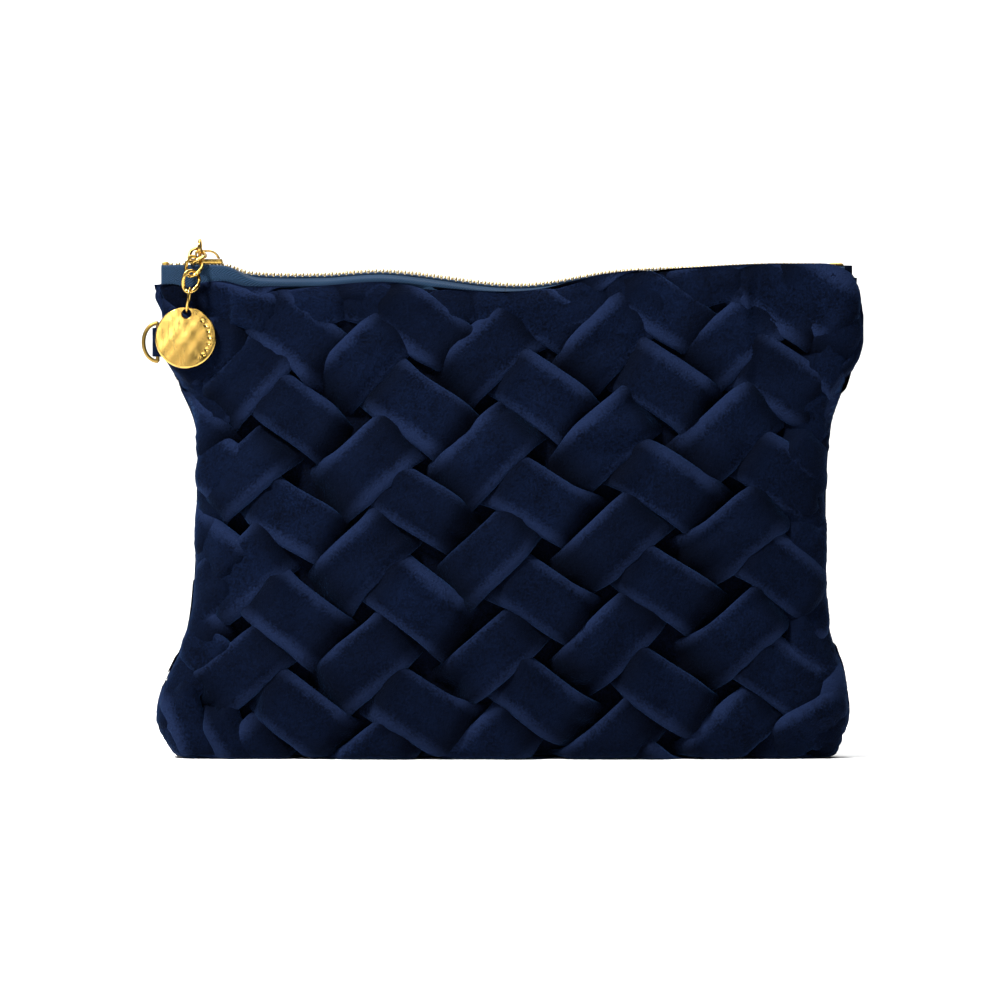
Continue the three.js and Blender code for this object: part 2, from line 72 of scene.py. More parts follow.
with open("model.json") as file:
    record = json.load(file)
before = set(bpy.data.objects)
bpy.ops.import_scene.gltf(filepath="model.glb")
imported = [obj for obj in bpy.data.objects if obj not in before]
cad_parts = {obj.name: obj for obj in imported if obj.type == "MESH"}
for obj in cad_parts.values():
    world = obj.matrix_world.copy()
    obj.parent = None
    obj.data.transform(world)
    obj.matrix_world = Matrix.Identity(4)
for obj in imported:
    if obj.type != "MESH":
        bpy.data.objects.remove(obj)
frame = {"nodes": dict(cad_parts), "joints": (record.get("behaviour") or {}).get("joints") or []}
CAD_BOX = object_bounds()

MM = 0.001
ORIGIN_SHIFT = 2.15  # the velvet body's middle stands this far to the right of the frame's origin
FRONT, BACK = -1, 1

# ---------- The pouch's form ----------

LEFT_SIDE = [
    (0, -107), (10, -111.5), (22, -110.5), (40, -103), (62, -100.5), (84, -100),
    (106, -100.5), (120, -106), (130, -109), (140, -109.2), (150, -112.3),
]
RIGHT_SIDE = [
    (0, 106), (12, 109.5), (26, 108.5), (42, 104.5), (80, 103.5), (106, 105),
    (122, 110), (138, 112.5), (150, 112),
]
# The wall's section, as its girth from the corner of the base up: how high and how far out it is.
GIRTH_HEIGHT = [(-13, 0.3), (-7, 0.3), (-2, 0.8), (1, 2.2), (5, 5.5), (12, 12), (18, 18), (160, 160)]
GIRTH_DEPTH = [
    (-13, 0.45), (-7, 6.5), (-2, 11.3), (1, 13.4), (5, 15.4), (16, 18.5), (55, 21.5), (92, 18.5),
    (122, 12), (136, 8.6), (149, 7), (160, 6.4),
]
SQUARENESS = [(100, 2.1), (124, 2.4), (147, 14)]
# The height of the zip's middle along the pouch.
ZIP_HEIGHT = [
    (-112, 157), (-101, 157.1), (-90, 156.8), (-82, 154.4), (-60, 153.9), (-38, 155), (4, 150.6),
    (34, 154.8), (62, 156.2), (88, 157.1), (112, 156.6),
]
UNDER_BASE = -13  # the girth at which a wall ends, under the middle of the base
SEAM = 0.45  # from the middle plane to the wall along the seams
SEAM_BLEND = (0.035, 0.01)  # how far before and past the seam its cloth is gathered, over the half width
BASE_ROUND = 1.5  # below this height the cloth flattens towards the floor
ROUND_POWER, SQUARE_POWER = 2.1, 8.0  # of the roundest and the squarest plan
SLOPE_STEP = 0.5  # the girth over which the section's slopes are measured
VELVET_ROOM, ROOM_AT_ZIP = 5.6, 2.2  # how thick the smocked velvet may be, below and round the zip
THINNING = (112, 146)  # the girths between which it becomes thinner


def smooth_line(points, at):
    """A cubic through the points whose slope at each one is that of its neighbours' chord."""
    x, y = np.array(points, float).T
    last = len(x) - 1
    before, after = np.maximum(np.arange(last + 1) - 1, 0), np.minimum(np.arange(last + 1) + 1, last)
    slope = (y[after] - y[before]) / (x[after] - x[before])
    at = np.clip(at, x[0], x[-1])
    i = np.clip(np.searchsorted(x, at, side="right") - 1, 0, last - 1)
    span = x[i + 1] - x[i]
    t = (at - x[i]) / span
    rise = slope[i] * (t**3 - 2 * t**2 + t) + slope[i + 1] * (t**3 - t**2)
    return y[i] * (2 * t**3 - 3 * t**2 + 1) + y[i + 1] * (3 * t**2 - 2 * t**3) + rise * span


def smoothstep(value, start, end):
    t = np.clip((value - start) / (end - start), 0, 1)
    return t * t * (3 - 2 * t)


def bent(value, power):
    """Raises a value's size to a power and keeps its sign, which squares a circle's sine and cosine."""
    return np.sign(value) * np.abs(value) ** power


def turns(count):
    """Evenly spaced angles once round, for rings that close on themselves."""
    return np.linspace(0, 2 * np.pi, count, endpoint=False)


def stacked(x, y, z):
    """Points from their coordinates, each of which may be spread over the others' rows or columns."""
    return np.stack(np.broadcast_arrays(x, y, z), -1)


def zip_height(x):
    return smooth_line(ZIP_HEIGHT, x)


def plan_curve(power, flatness=0.19, steps=400):
    """A quarter of the plan's outline, for a depth that is a share of its half width.

    Gives the lengths round it from the middle over the half width, with the matching shares of the half width
    and of the depth.
    """
    t = np.linspace(0, np.pi / 2, steps)
    x, depth = np.sin(t) ** (2 / power), np.cos(t) ** (2 / power)
    lengths = np.concatenate([[0], np.cumsum(np.hypot(np.diff(x), flatness * np.diff(depth)))])
    return lengths, x, depth


ROUND_PLAN, SQUARE_PLAN = plan_curve(ROUND_POWER), plan_curve(SQUARE_POWER)


def plan_at(girth, inset):
    """The wall's plan at each girth, drawn in by inset.

    Gives its height, middle, half width and power, how square that is from 0 to 1, and the length round it
    from the middle to a seam over the half width.
    """
    z = smooth_line(GIRTH_HEIGHT, girth)
    left = smooth_line(LEFT_SIDE, z) + inset
    right = smooth_line(RIGHT_SIDE, z) - inset
    power = smooth_line(SQUARENESS, z)
    squared = np.clip((power - ROUND_POWER) / (SQUARE_POWER - ROUND_POWER), 0, 1)
    far = ROUND_PLAN[0][-1] * (1 - squared) + SQUARE_PLAN[0][-1] * squared
    return z, (left + right) / 2, (right - left) / 2, power, squared, far


def seam_across(girth, end, inset):
    """How far across the flat pattern the left or right seam is."""
    _, middle, half, _, _, far = plan_at(girth, inset)
    return middle + end * half * far


def slope_of(line, girth):
    """How fast a line of the wall's section changes with its girth."""
    change = smooth_line(line, girth + SLOPE_STEP) - smooth_line(line, girth - SLOPE_STEP)
    return change / (2 * SLOPE_STEP)


def plan_shares(flat_share, squared):
    """The shares of the half width and of the depth at a length round the plan over the half width."""
    length = np.abs(flat_share)
    share, forward = (
        np.interp(length, ROUND_PLAN[0], ROUND_PLAN[k]) * (1 - squared)
        + np.interp(length, SQUARE_PLAN[0], SQUARE_PLAN[k]) * squared
        for k in (1, 2)
    )
    return share * np.sign(flat_share), forward


def wall_point(across, girth, inset, lift, gathered=0.0):
    """Points of the front wall, as a superellipse in plan.

    Across is the length along the wall from the middle and girth is the length up it. The section is drawn in
    by inset, and the point is then lifted along the normal. Beyond the seam a point stays in the seam's line,
    where gathered cloth stands out by that much. Near the floor the cloth is pressed flat.
    """
    z, middle, half, power, squared, far = plan_at(girth, inset)
    flat_share = (across - middle) / half
    whole = np.maximum(smooth_line(GIRTH_DEPTH, girth) - inset, SEAM)
    at_seam = smoothstep(np.abs(flat_share), far - SEAM_BLEND[0], far + SEAM_BLEND[1])
    lift = lift * (1 - at_seam) + gathered * at_seam
    share, forward = plan_shares(flat_share, squared)
    climb, spread = slope_of(GIRTH_HEIGHT, girth), slope_of(GIRTH_DEPTH, girth)
    sideways = np.sign(share) * np.abs(share) ** (power - 1) / half
    outwards = forward ** (power - 1) / whole
    size = np.hypot(sideways, outwards)
    normal = np.stack([sideways / size * climb, -outwards / size * climb, -spread * forward], -1)
    normal /= np.maximum(np.linalg.norm(normal, axis=-1, keepdims=True), 1e-6)
    point = np.stack([middle + share * half, -whole * forward, z], -1)
    point = point + normal * np.asarray(lift)[..., None]
    point[..., 1] = np.minimum(point[..., 1], -SEAM)
    pressed = BASE_ROUND * np.exp(np.minimum(point[..., 2] / BASE_ROUND - 1, 0))
    point[..., 2] = np.where(point[..., 2] > BASE_ROUND, point[..., 2], pressed)
    return point


def thinned(below, at_zip, girth):
    """A depth into the wall that is one value below and a smaller one round the zip."""
    return below - (below - at_zip) * smoothstep(girth, *THINNING)


def velvet_room(girth):
    return thinned(VELVET_ROOM, ROOM_AT_ZIP, girth)


def cad_box(node):
    """A CAD piece's lowest and highest corners, in millimetres about the body's middle."""
    return [np.array(corner) / MM - (ORIGIN_SHIFT, 0, 0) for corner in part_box(node)]


# ---------- Meshes ----------


def place(points, side=FRONT):
    """Millimetres about the body's middle to metres in the frame. The back is the front mirrored in depth."""
    turned = points * np.array([1, -side, 1])
    return (turned + np.array([ORIGIN_SHIFT, 0, 0])) * MM


def grid_faces(rows, columns, loop_rows=False, loop_columns=False):
    """Quads between the points of a grid, with its last row or column joined to its first where it loops."""
    i = np.arange(rows if loop_rows else rows - 1)[:, None]
    j = np.arange(columns if loop_columns else columns - 1)[None, :]
    i1, j1 = (i + 1) % rows, (j + 1) % columns
    quads = [i * columns + j, i * columns + j1, i1 * columns + j1, i1 * columns + j]
    return np.stack([q + 0 * i + 0 * j for q in quads], -1).reshape(-1, 4)


class Build:
    """Collects grids of points as one mesh, with a UV in millimetres for each point."""

    def __init__(self, side=FRONT):
        self.side = side
        self.points, self.faces, self.uvs, self.count = [], [], [], 0

    def add(self, points, faces, uv=(0, 0), flip=False):
        turn = flip != (self.side == BACK)
        self.faces.extend([[k + self.count for k in (face[::-1] if turn else face)] for face in faces])
        self.points.append(place(points, self.side).reshape(-1, 3))
        self.uvs.append(np.broadcast_to(uv, points.shape[:-1] + (2,)).reshape(-1, 2))
        self.count += points.size // 3

    def grid(self, points, uv=(0, 0), flip=False, **loops):
        self.add(points, grid_faces(points.shape[0], points.shape[1], **loops).tolist(), uv, flip)

    def tube(self, points, uv=(0, 0), flip=False):
        """A grid whose rows are rings, closed at both ends by a face over the whole ring."""
        rows, ring = points.shape[:2]
        faces = grid_faces(rows, ring, loop_columns=True).tolist()
        faces += [list(reversed(range(ring))), [(rows - 1) * ring + k for k in range(ring)]]
        self.add(points, faces, uv, flip)

    def finish(self, name, material, slot=None):
        mesh = bpy.data.meshes.new(name)
        mesh.from_pydata(np.concatenate(self.points).tolist(), [], self.faces)
        mesh.polygons.foreach_set("use_smooth", np.ones(len(mesh.polygons), bool))
        corners = np.zeros(len(mesh.loops), int)
        mesh.loops.foreach_get("vertex_index", corners)
        layer = mesh.uv_layers.new(name="UVMap")
        layer.data.foreach_set("uv", np.concatenate(self.uvs)[corners].ravel())
        mesh.materials.append(material)
        mesh.update()
        piece = bpy.data.objects.new(name, mesh)
        bpy.context.scene.collection.objects.link(piece)
        return piece if slot else piece


def looped(name, points, material, slot):
    """One piece whose grid of points closes on itself both ways, like a ring of wire."""
    build = Build()
    build.grid(points, loop_rows=True, loop_columns=True)
    return build.finish(name, material, slot)


def bow(piece, end):
    """Bakes a piece of the front wall's left (-1) or right (1) half into its mesh; end is not used."""
    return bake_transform(piece)


def on_wall(piece, side, end):
    """Places a piece with its wall: a front piece is baked where it stands, a back piece is attached to the
    root.
    """
    return bow(piece, end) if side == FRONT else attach(piece, "root")


def modifier(piece, kind, **values):
    made = piece.modifiers.new(kind.title(), kind)
    for key, value in values.items():
        setattr(made, key, value)
    return made


HALVES = [("left", -1), ("right", 1)]
SIDES = [("front", FRONT), ("back", BACK)]
QUARTERS = [(name, side, half, end) for name, side in SIDES for half, end in HALVES]

# ---------- Materials ----------


class Nodes:
    """A short way to write a node tree: each call makes a node, sets its values and links its inputs."""

    def __init__(self, tree):
        self.tree = tree

    def put(self, value, socket):
        """Links an output to the socket, or sets a constant straight on it."""
        if isinstance(value, bpy.types.NodeSocket):
            self.tree.links.new(value, socket)
        else:
            socket.default_value = value

    def make(self, kind, inputs=None, **settings):
        node = self.tree.nodes.new(kind)
        for key, value in settings.items():
            setattr(node, key, value)
        for key, value in (inputs or {}).items():
            self.put(value, node.inputs[key])
        return node

    def math(self, operation, *values):
        return self.make("ShaderNodeMath", dict(enumerate(values)), operation=operation).outputs[0]

    def noise(self, vector, scale, detail=3.0, roughness=0.55, distortion=0.0):
        inputs = {
            "Vector": vector, "Scale": scale, "Detail": detail, "Roughness": roughness,
            "Distortion": distortion,
        }
        return self.make("ShaderNodeTexNoise", inputs).outputs["Fac"]

    def ranged(self, value, low, high, to_low=0.0, to_high=1.0):
        inputs = {"Value": value, "From Min": low, "From Max": high, "To Min": to_low, "To Max": to_high}
        return self.make("ShaderNodeMapRange", inputs).outputs["Result"]

    def mixed(self, share, a, b):
        node = self.make("ShaderNodeMix", data_type="RGBA")
        for key, kind, value in (("Factor", "VALUE", share), ("A", "RGBA", a), ("B", "RGBA", b)):
            self.put(value, next(s for s in node.inputs if s.name == key and s.type == kind))
        return next(s for s in node.outputs if s.type == "RGBA")

    def bump(self, height, distance, strength=1.0):
        inputs = {"Height": height, "Distance": distance, "Strength": strength}
        return self.make("ShaderNodeBump", inputs).outputs["Normal"]


def new_group(name, inputs, outputs):
    """An empty shader node group with the named float or vector inputs and float outputs."""
    tree = bpy.data.node_groups.new(name, "ShaderNodeTree")
    for label, value in inputs:
        kind = "NodeSocketVector" if value is None else "NodeSocketFloat"
        socket = tree.interface.new_socket(name=label, in_out="INPUT", socket_type=kind)
        if value is not None:
            socket.default_value = value
    for label in outputs:
        tree.interface.new_socket(name=label, in_out="OUTPUT", socket_type="NodeSocketFloat")
    return tree, Nodes(tree), tree.nodes.new("NodeGroupInput"), tree.nodes.new("NodeGroupOutput")


def velvet_pile_group():
    """Pile: how it lies in soft patches, the streaks where it was stroked, and its fine upright tufts."""
    inputs = [("Vector", None), ("Patch Scale", 70.0), ("Tuft Scale", 1500.0), ("Contrast", 1.0)]
    tree, n, given, out = new_group("Velvet Pile", inputs, ["Lie", "Height"])
    at = given.outputs["Vector"]
    patches = n.noise(at, given.outputs["Patch Scale"], 4.0, 0.6, 0.6)
    tufts = n.noise(at, given.outputs["Tuft Scale"], 2.0, 0.6)
    streaks = n.noise(at, n.math("MULTIPLY", given.outputs["Patch Scale"], 7.0), 3.0, 0.65, 1.2)
    lie = n.math("ADD", n.math("MULTIPLY", patches, 0.6), n.math("MULTIPLY", streaks, 0.4))
    lie = n.math("ADD", n.math("MULTIPLY", lie, 0.5), n.math("MULTIPLY", tufts, 0.5))
    centred = n.math("MULTIPLY", n.math("SUBTRACT", lie, 0.5), given.outputs["Contrast"])
    n.put(n.ranged(centred, -0.11, 0.11), out.inputs["Lie"])
    height = n.math("ADD", n.math("MULTIPLY", tufts, 0.5), n.math("MULTIPLY", streaks, 0.5))
    n.put(height, out.inputs["Height"])
    return tree


def fold_shade_group():
    """Where on a fold a point is: its own tone, how far under others it is, for painted shade, and how
    near an edge it is, for a painted highlight.

    The UV is in millimetres along and across the fold, with each fold a step further on than the last.
    """
    tree, n, given, out = new_group("Fold Shade", [("UV", None), ("Wander", 0.0)], ["Tone", "Under", "Rim"])
    axes = n.make("ShaderNodeSeparateXYZ", {"Vector": given.outputs["UV"]}).outputs
    wander = given.outputs["Wander"]
    number = n.math("FLOOR", n.math("ADD", n.math("DIVIDE", axes["X"], FOLD_UV_STEP), 0.5))
    tone = n.make("ShaderNodeTexWhiteNoise", {"W": number}, noise_dimensions="1D")
    along = n.math("ABSOLUTE", n.math("SUBTRACT", axes["X"], n.math("MULTIPLY", number, FOLD_UV_STEP)))
    along = n.math("ADD", along, n.math("MULTIPLY", wander, 6.0))
    across = n.math("ADD", n.math("ABSOLUTE", axes["Y"]), n.math("MULTIPLY", wander, 2.0))
    n.put(tone.outputs["Value"], out.inputs["Tone"])
    n.put(n.ranged(along, *UNDER_FROM), out.inputs["Under"])
    n.put(n.ranged(across, *RIM_FROM), out.inputs["Rim"])
    return tree


def weave_group():
    """Cloth woven in herringbone: slanted ridges whose slant turns over at each band across the cloth."""
    inputs = [("Vector", None), ("Thread", 0.8), ("Band", 2.0), ("Slant", 1.0)]
    tree, n, given, out = new_group("Herringbone Weave", inputs, ["Ridge", "Thread Height"])
    axes = n.make("ShaderNodeSeparateXYZ", {"Vector": given.outputs["Vector"]}).outputs
    folded = n.math("PINGPONG", axes["Y"], given.outputs["Band"])
    phase = n.math("ADD", axes["X"], n.math("MULTIPLY", folded, given.outputs["Slant"]))
    turn = n.math("MULTIPLY", n.math("DIVIDE", phase, given.outputs["Thread"]), 2 * np.pi)
    ridge = n.ranged(n.math("SINE", turn), -1.0, 1.0)
    cross = n.math("MULTIPLY", n.math("DIVIDE", axes["Y"], given.outputs["Thread"]), 4 * np.pi)
    thread = n.math("MULTIPLY", ridge, n.ranged(n.math("SINE", cross), -1.0, 1.0, 0.6, 1.0))
    n.put(ridge, out.inputs["Ridge"])
    n.put(thread, out.inputs["Thread Height"])
    return tree


def handling_group():
    """Marks of handling on polished metal: cloudy smudges, and fine scratches that run in short arcs."""
    inputs = [("Vector", None), ("Smudge Scale", 220.0), ("Scratch Scale", 900.0)]
    tree, n, given, out = new_group("Handling Marks", inputs, ["Smudge", "Scratch"])
    at = given.outputs["Vector"]
    smudge = n.noise(at, given.outputs["Smudge Scale"], 5.0, 0.6)
    n.put(n.ranged(smudge, 0.35, 0.7), out.inputs["Smudge"])
    drawn = n.make("ShaderNodeMapping", {"Vector": at, "Rotation": (0.3, 0.5, 0.8), "Scale": (1, 1, 0.12)})
    lines = n.noise(drawn.outputs["Vector"], given.outputs["Scratch Scale"], 3.0, 0.7, 0.4)
    n.put(n.ranged(lines, 0.56, 0.68), out.inputs["Scratch"])
    return tree


GROUPS = {}  # the shared node groups made so far, by name


def group_node(n, name, make, **inputs):
    """Places a shared node group, built the first time it is asked for."""
    if name not in GROUPS:
        GROUPS[name] = make()
    node = n.make("ShaderNodeGroup", node_tree=GROUPS[name])
    for key, value in inputs.items():
        n.put(value, node.inputs[key.replace("_", " ")])
    return node.outputs


def new_material(name, **constants):
    """A material with only a Principled shader, whose given sockets are set straight on it."""
    made = bpy.data.materials.new(name)
    made.use_nodes = True
    shader = made.node_tree.nodes["Principled BSDF"]
    for key, value in constants.items():
        shader.inputs[key.replace("_", " ")].default_value = value
    return made, Nodes(made.node_tree), shader


def connect(n, shader, **sockets):
    """Links outputs to the shader's sockets, named with _ for each space."""
    for key, value in sockets.items():
        n.put(value, shader.inputs[key.replace("_", " ")])


def rgba(colour, share=1.0):
    return (*(c * share for c in colour), 1.0)


def object_coordinates(n):
    return n.make("ShaderNodeTexCoord").outputs["Object"]


def velvet(name, colour, shade=1.0, folded=False):
    """Cut-pile velvet: its colour is painted dark where the surface faces the eye and pale where it is seen
    along its side, a painted sheen. A shade below 1 paints all of it darker, as painted shade.

    On folds, painted shade darkens a fold where it goes under its neighbours, and a painted highlight
    pales it over its edges.
    """
    made, n, shader = new_material(
        name, Roughness=0.9, Specular_IOR_Level=0.02, Sheen_Weight=0.05, Sheen_Roughness=0.35,
        Sheen_Tint=(0.12, 0.38, 1.0, 1.0),
    )
    pile = group_node(n, "pile", velvet_pile_group, Vector=object_coordinates(n), Contrast=1.0)
    tint = n.mixed(pile["Lie"], rgba(colour, 0.3 * shade), rgba(colour, 1.5 * shade))
    # Painted sheen: the colour is mixed paler where the surface is seen at a grazing angle.
    facing = n.make("ShaderNodeLayerWeight", {"Blend": 0.35}).outputs["Facing"]
    side = n.ranged(facing, 0.25, 0.9, 0.0, 0.8)
    tint = n.mixed(side, tint, rgba(colour, 3.6 * shade))
    if folded:
        uv = n.make("ShaderNodeTexCoord").outputs["UV"]
        wander = n.math("SUBTRACT", pile["Lie"], 0.5)
        fold_at = group_node(n, "fold", fold_shade_group, UV=uv, Wander=wander)
        tone = n.ranged(fold_at["Tone"], 0.0, 1.0, 0.0, 0.6)
        tint = n.mixed(tone, tint, rgba(colour, 0.5))
        # Painted highlight: each fold's edges are painted paler and greyer.
        painted_rim_highlight = (*(c * 3.4 + 0.003 for c in colour), 1.0)
        tint = n.mixed(n.math("MULTIPLY", fold_at["Rim"], 0.65), tint, painted_rim_highlight)
        # Painted shade: each fold is painted dark towards its ends, where it goes under its neighbours.
        tint = n.mixed(n.math("MULTIPLY", fold_at["Under"], 0.9), tint, rgba(colour, 0.12))
    connect(n, shader, Base_Color=tint, Normal=n.bump(pile["Height"], 0.0008, 0.9))
    return made


def woven(name, colour, thread, band, roughness, sheen=0.3):
    """Woven cloth whose ridges follow the piece's own UV."""
    made, n, shader = new_material(name, Roughness=roughness, Sheen_Weight=sheen, Specular_IOR_Level=0.12)
    uv = n.make("ShaderNodeTexCoord").outputs["UV"]
    weave = group_node(n, "weave", weave_group, Vector=uv, Thread=thread, Band=band)
    fade = n.noise(object_coordinates(n), 90.0)
    tint = n.mixed(weave["Ridge"], rgba(colour, 0.6), rgba(colour, 1.35))
    tint = n.mixed(n.ranged(fade, 0.3, 0.7, 0.0, 0.25), tint, rgba(colour, 1.6))
    connect(n, shader, Base_Color=tint, Normal=n.bump(weave["Thread Height"], 0.0002, 0.8))
    return made


def fibre(name, colour):
    """Loose white wadding: fibres that wander through each other."""
    made, n, shader = new_material(name, Roughness=1.0, Specular_IOR_Level=0.1)
    strands = n.noise(object_coordinates(n), 700.0, 5.0, 0.7, 2.0)
    tint = n.mixed(n.ranged(strands, 0.3, 0.7), rgba(colour, 0.8), rgba(colour))
    connect(n, shader, Base_Color=tint, Normal=n.bump(strands, 0.0006))
    return made


def metal(name, colour, roughness, smudge_scale=220.0):
    """Polished brass with handling marks, a little duller and browner where it is smudged."""
    made, n, shader = new_material(name, Metallic=1.0, Specular_IOR_Level=0.5)
    at = object_coordinates(n)
    marks = group_node(n, "handling", handling_group, Vector=at, Smudge_Scale=smudge_scale)
    browned = [share * c for share, c in zip((0.62, 0.5, 0.4), colour)]
    tint = n.mixed(n.math("MULTIPLY", marks["Smudge"], 0.45), rgba(colour), rgba(browned))
    rough = n.ranged(marks["Smudge"], 0.0, 1.0, roughness, roughness + 0.16)
    rough = n.math("ADD", rough, n.math("MULTIPLY", marks["Scratch"], 0.12))
    connect(n, shader, Base_Color=tint, Roughness=rough, Normal=n.bump(marks["Scratch"], 0.00002, 0.5))
    return made


# ---------- Settings ----------


def colour_property(name, description, default):
    return FloatVectorProperty(
        name=name, description=description, subtype="COLOR", size=3, default=default, min=0, max=1
    )


class PouchSettings(PropertyGroup):
    velvet_colour: colour_property("Velvet", "Colour of the velvet's pile", (0.0012, 0.0030, 0.0106))
    tape_colour: colour_property("Zip tape", "Colour of the woven zip tape", (0.0045, 0.018, 0.042))
    lining_colour: colour_property("Lining", "Colour of the satin lining", (0.012, 0.02, 0.045))
    brass_colour: colour_property("Brass", "Colour of the chain, charm and slider", (0.52, 0.34, 0.085))
    strip_width: FloatProperty(
        name="Strip width", description="Width of a velvet strip where it lies over its neighbour",
        default=0.0182, min=0.008, max=0.03, unit="LENGTH",
    )
    strip_thickness: FloatProperty(
        name="Strip thickness", description="Thickness of a velvet strip at its middle",
        default=0.0058, min=0.002, max=0.012, unit="LENGTH",
    )
    seed: IntProperty(name="Seed", description="Chooses how each fold of the velvet varies", default=7, min=0)


def settings():
    return bpy.context.scene.pouch


# ---------- Velvet ----------

TILT = 0.075  # how much the rows of folds rise to the right
ROW_PITCH = 15.68
TOP_ROW = 144.6
TOP_ROW_DROP = 4.0  # how much lower the first whole row sits, because the hem presses it down
FALLING = {"angle": -34.0, "first": -65.9, "pitch": 38.7}  # strips that fall to the right, on even rows
RISING = {"angle": 43.0, "first": -83.5, "pitch": 39.0}  # strips that rise to the right, on odd rows
ROWS, COLUMNS = range(-1, 11), range(-2, 8)
LATTICE_REACH = (-124, 128)  # no fold's middle is further across than this
FOLD_LENGTH = 49.0
FOLD_RINGS, FOLD_SIDES = 52, 36
CORNER_RISE = 1.0  # how far the corner folds stand above the lattice
CHARM_PLACES = (-101, 91)  # where the charm hangs with the slider at either end of the zip
BESIDE_CHARM = (12, 20)  # how far to either side of it the velvet lies flat, and where it is full again
CHARM_BAND = (112, 120)  # the heights between which the velvet starts to lie flatter behind it
BEHIND_CHARM, BEHIND_RING = 9.1, 6.7  # how far out the velvet may reach behind the charm and its ring
RING_BAND = (135, 140)  # the heights between which the ring follows the charm
OPEN_ROOM = 15  # how much further out it may reach elsewhere, which is more than it does
LIMIT_SOFTNESS = 1.6  # the depth over which that limit sets in
SLIDER_ROOM = 4.4  # from the middle plane to the velvet beside the zip
ZIP_BAND = (149, 152.5)  # the heights between which that room is kept
FOLD_UV_STEP = 100.0  # how much further on along its length each fold's UV is than the last one's
UNDER_FROM = (8.0, 17.5)  # along a fold, where painted shade starts under its neighbours and where it is darkest
RIM_FROM = (5.8, 8.8)  # across a fold, where its painted highlight begins and where it is palest
HEM_DROP = [
    (-112, 6.0), (-96, 5.2), (-70, 3.6), (-20, 3.2), (10, 1.6), (34, 0.2), (98, -0.6), (105, -0.2),
    (112, 3.5),
]
HEM_ROLL = 2.0  # the height over which folds that would pass the hem are turned down to it
HEM_FLATTENING = 5.0  # how far below the hem the folds have their whole height
CREST, DIVE = 3.1, 5.4  # how far a fold's middle stands off the wall, and how much lower its ends go
HEM_FOLD = {"length": 38, "width": 14, "above": -0.6}
HEM_FOLD_PLACES, HEM_FOLD_ANGLES, HEM_FOLD_DROP = np.arange(-84, 112, 21), (-16, 20), 7
SEAM_FOLD = {"length": 36, "width": 17, "above": -0.4}
SEAM_FOLD_GIRTHS, SEAM_FOLD_INSET = np.arange(8, 136, 14.5), 4


# Larger folds where the lattice is gathered into the corners: across, girth, angle, length, width and bend.
CORNER_FOLDS = [
    (99, 145, -38, 46, 29, 3), (117, 131, 62, 40, 17, -3), (-112, 22, -62, 46, 15, -4),
    (-97, 14, -66, 44, 13, -5), (-84, 8, -62, 40, 13, -4), (-113, 44, -35, 34, 15, 3),
    (-96, 128, 38, 44, 16, 2), (-86, 141, -14, 40, 13, 2), (112, 20, 58, 44, 17, 4), (98, 8, 30, 44, 16, 2),
]


def hem_girth(across):
    """How high the velvet's top edge is: below the tape on the left, and up to the zip on the right."""
    return zip_height(across) - smooth_line(HEM_DROP, across)


def lattice_folds():
    """Each fold of the lattice, row by row from above the hem to under the base, and then the corner folds.

    Each is its place on the flat pattern, its angle, and what differs in its shape from the usual fold.
    """
    for row in ROWS:
        family = FALLING if row % 2 == 0 else RISING
        for column in COLUMNS:
            across = family["first"] + column * family["pitch"]
            girth = TOP_ROW - row * ROW_PITCH + TILT * across
            if row == 0:
                girth -= TOP_ROW_DROP
            if LATTICE_REACH[0] < across < LATTICE_REACH[1]:
                yield across, girth, family["angle"], {}
    for across, girth, angle, length, width, bend in CORNER_FOLDS:
        yield across, girth, angle, {"length": length, "width": width, "bend": bend, "above": CORNER_RISE}


def hem_folds():
    """Slanting folds that fill the gaps of the lattice along the zip."""
    for k, across in enumerate(HEM_FOLD_PLACES):
        yield across, hem_girth(across) - HEM_FOLD_DROP, HEM_FOLD_ANGLES[k % 2], HEM_FOLD


def seam_folds():
    """Folds that carry the lattice round each side seam."""
    for end in (-1, 1):
        for k, girth in enumerate(SEAM_FOLD_GIRTHS):
            across = seam_across(girth, end, VELVET_ROOM) - end * SEAM_FOLD_INSET
            yield across, girth, (FALLING, RISING)[k % 2]["angle"], SEAM_FOLD


def keep_clear(points, under=0.0):
    """Holds velvet back from where the charm hangs at both ends of the zip, and out of the slider's way."""
    x, z = points[..., 0], points[..., 2]
    near_charm = np.maximum(*(1 - smoothstep(np.abs(x - middle), *BESIDE_CHARM) for middle in CHARM_PLACES))
    near_charm = near_charm * smoothstep(z, *CHARM_BAND)
    deepest = BEHIND_CHARM - (BEHIND_CHARM - BEHIND_RING) * smoothstep(z, *RING_BAND)
    deepest = deepest + OPEN_ROOM * (1 - near_charm) - under
    past = -points[..., 1] - (deepest - LIMIT_SOFTNESS)
    pressed = -(deepest - LIMIT_SOFTNESS * np.exp(-np.maximum(past, 0) / LIMIT_SOFTNESS))
    points[..., 1] = np.where(past > 0, pressed, points[..., 1])
    points[..., 1] = np.minimum(points[..., 1], -SLIDER_ROOM * smoothstep(z, *ZIP_BAND))
    return points


def creases(wide, u, rng):
    """Creases along a strip: soft valleys, and a step where one layer of the cloth lies over another."""
    height = 0 * wide * u
    for _ in range(rng.integers(1, 4)):
        end = rng.choice([-1, 1])
        line = rng.uniform(-0.6, 0.6) + rng.uniform(-0.5, 0.5) * (1 - end * u)
        reach = smoothstep(end * u, rng.uniform(-0.5, 0.1), 0.7)
        depth, breadth = rng.uniform(0.6, 1.5), rng.uniform(0.13, 0.24)
        height = height - depth * np.exp(-(((wide - line) / breadth) ** 2)) * reach
    line = rng.uniform(-0.5, 0.5) + rng.uniform(-0.45, 0.45) * u
    step = rng.choice([-1, 1]) * rng.uniform(0.1, 1.0)
    return height + step * np.tanh((wide - line) / 0.1) * smoothstep(rng.choice([-1, 1]) * u, -0.6, 0.4)


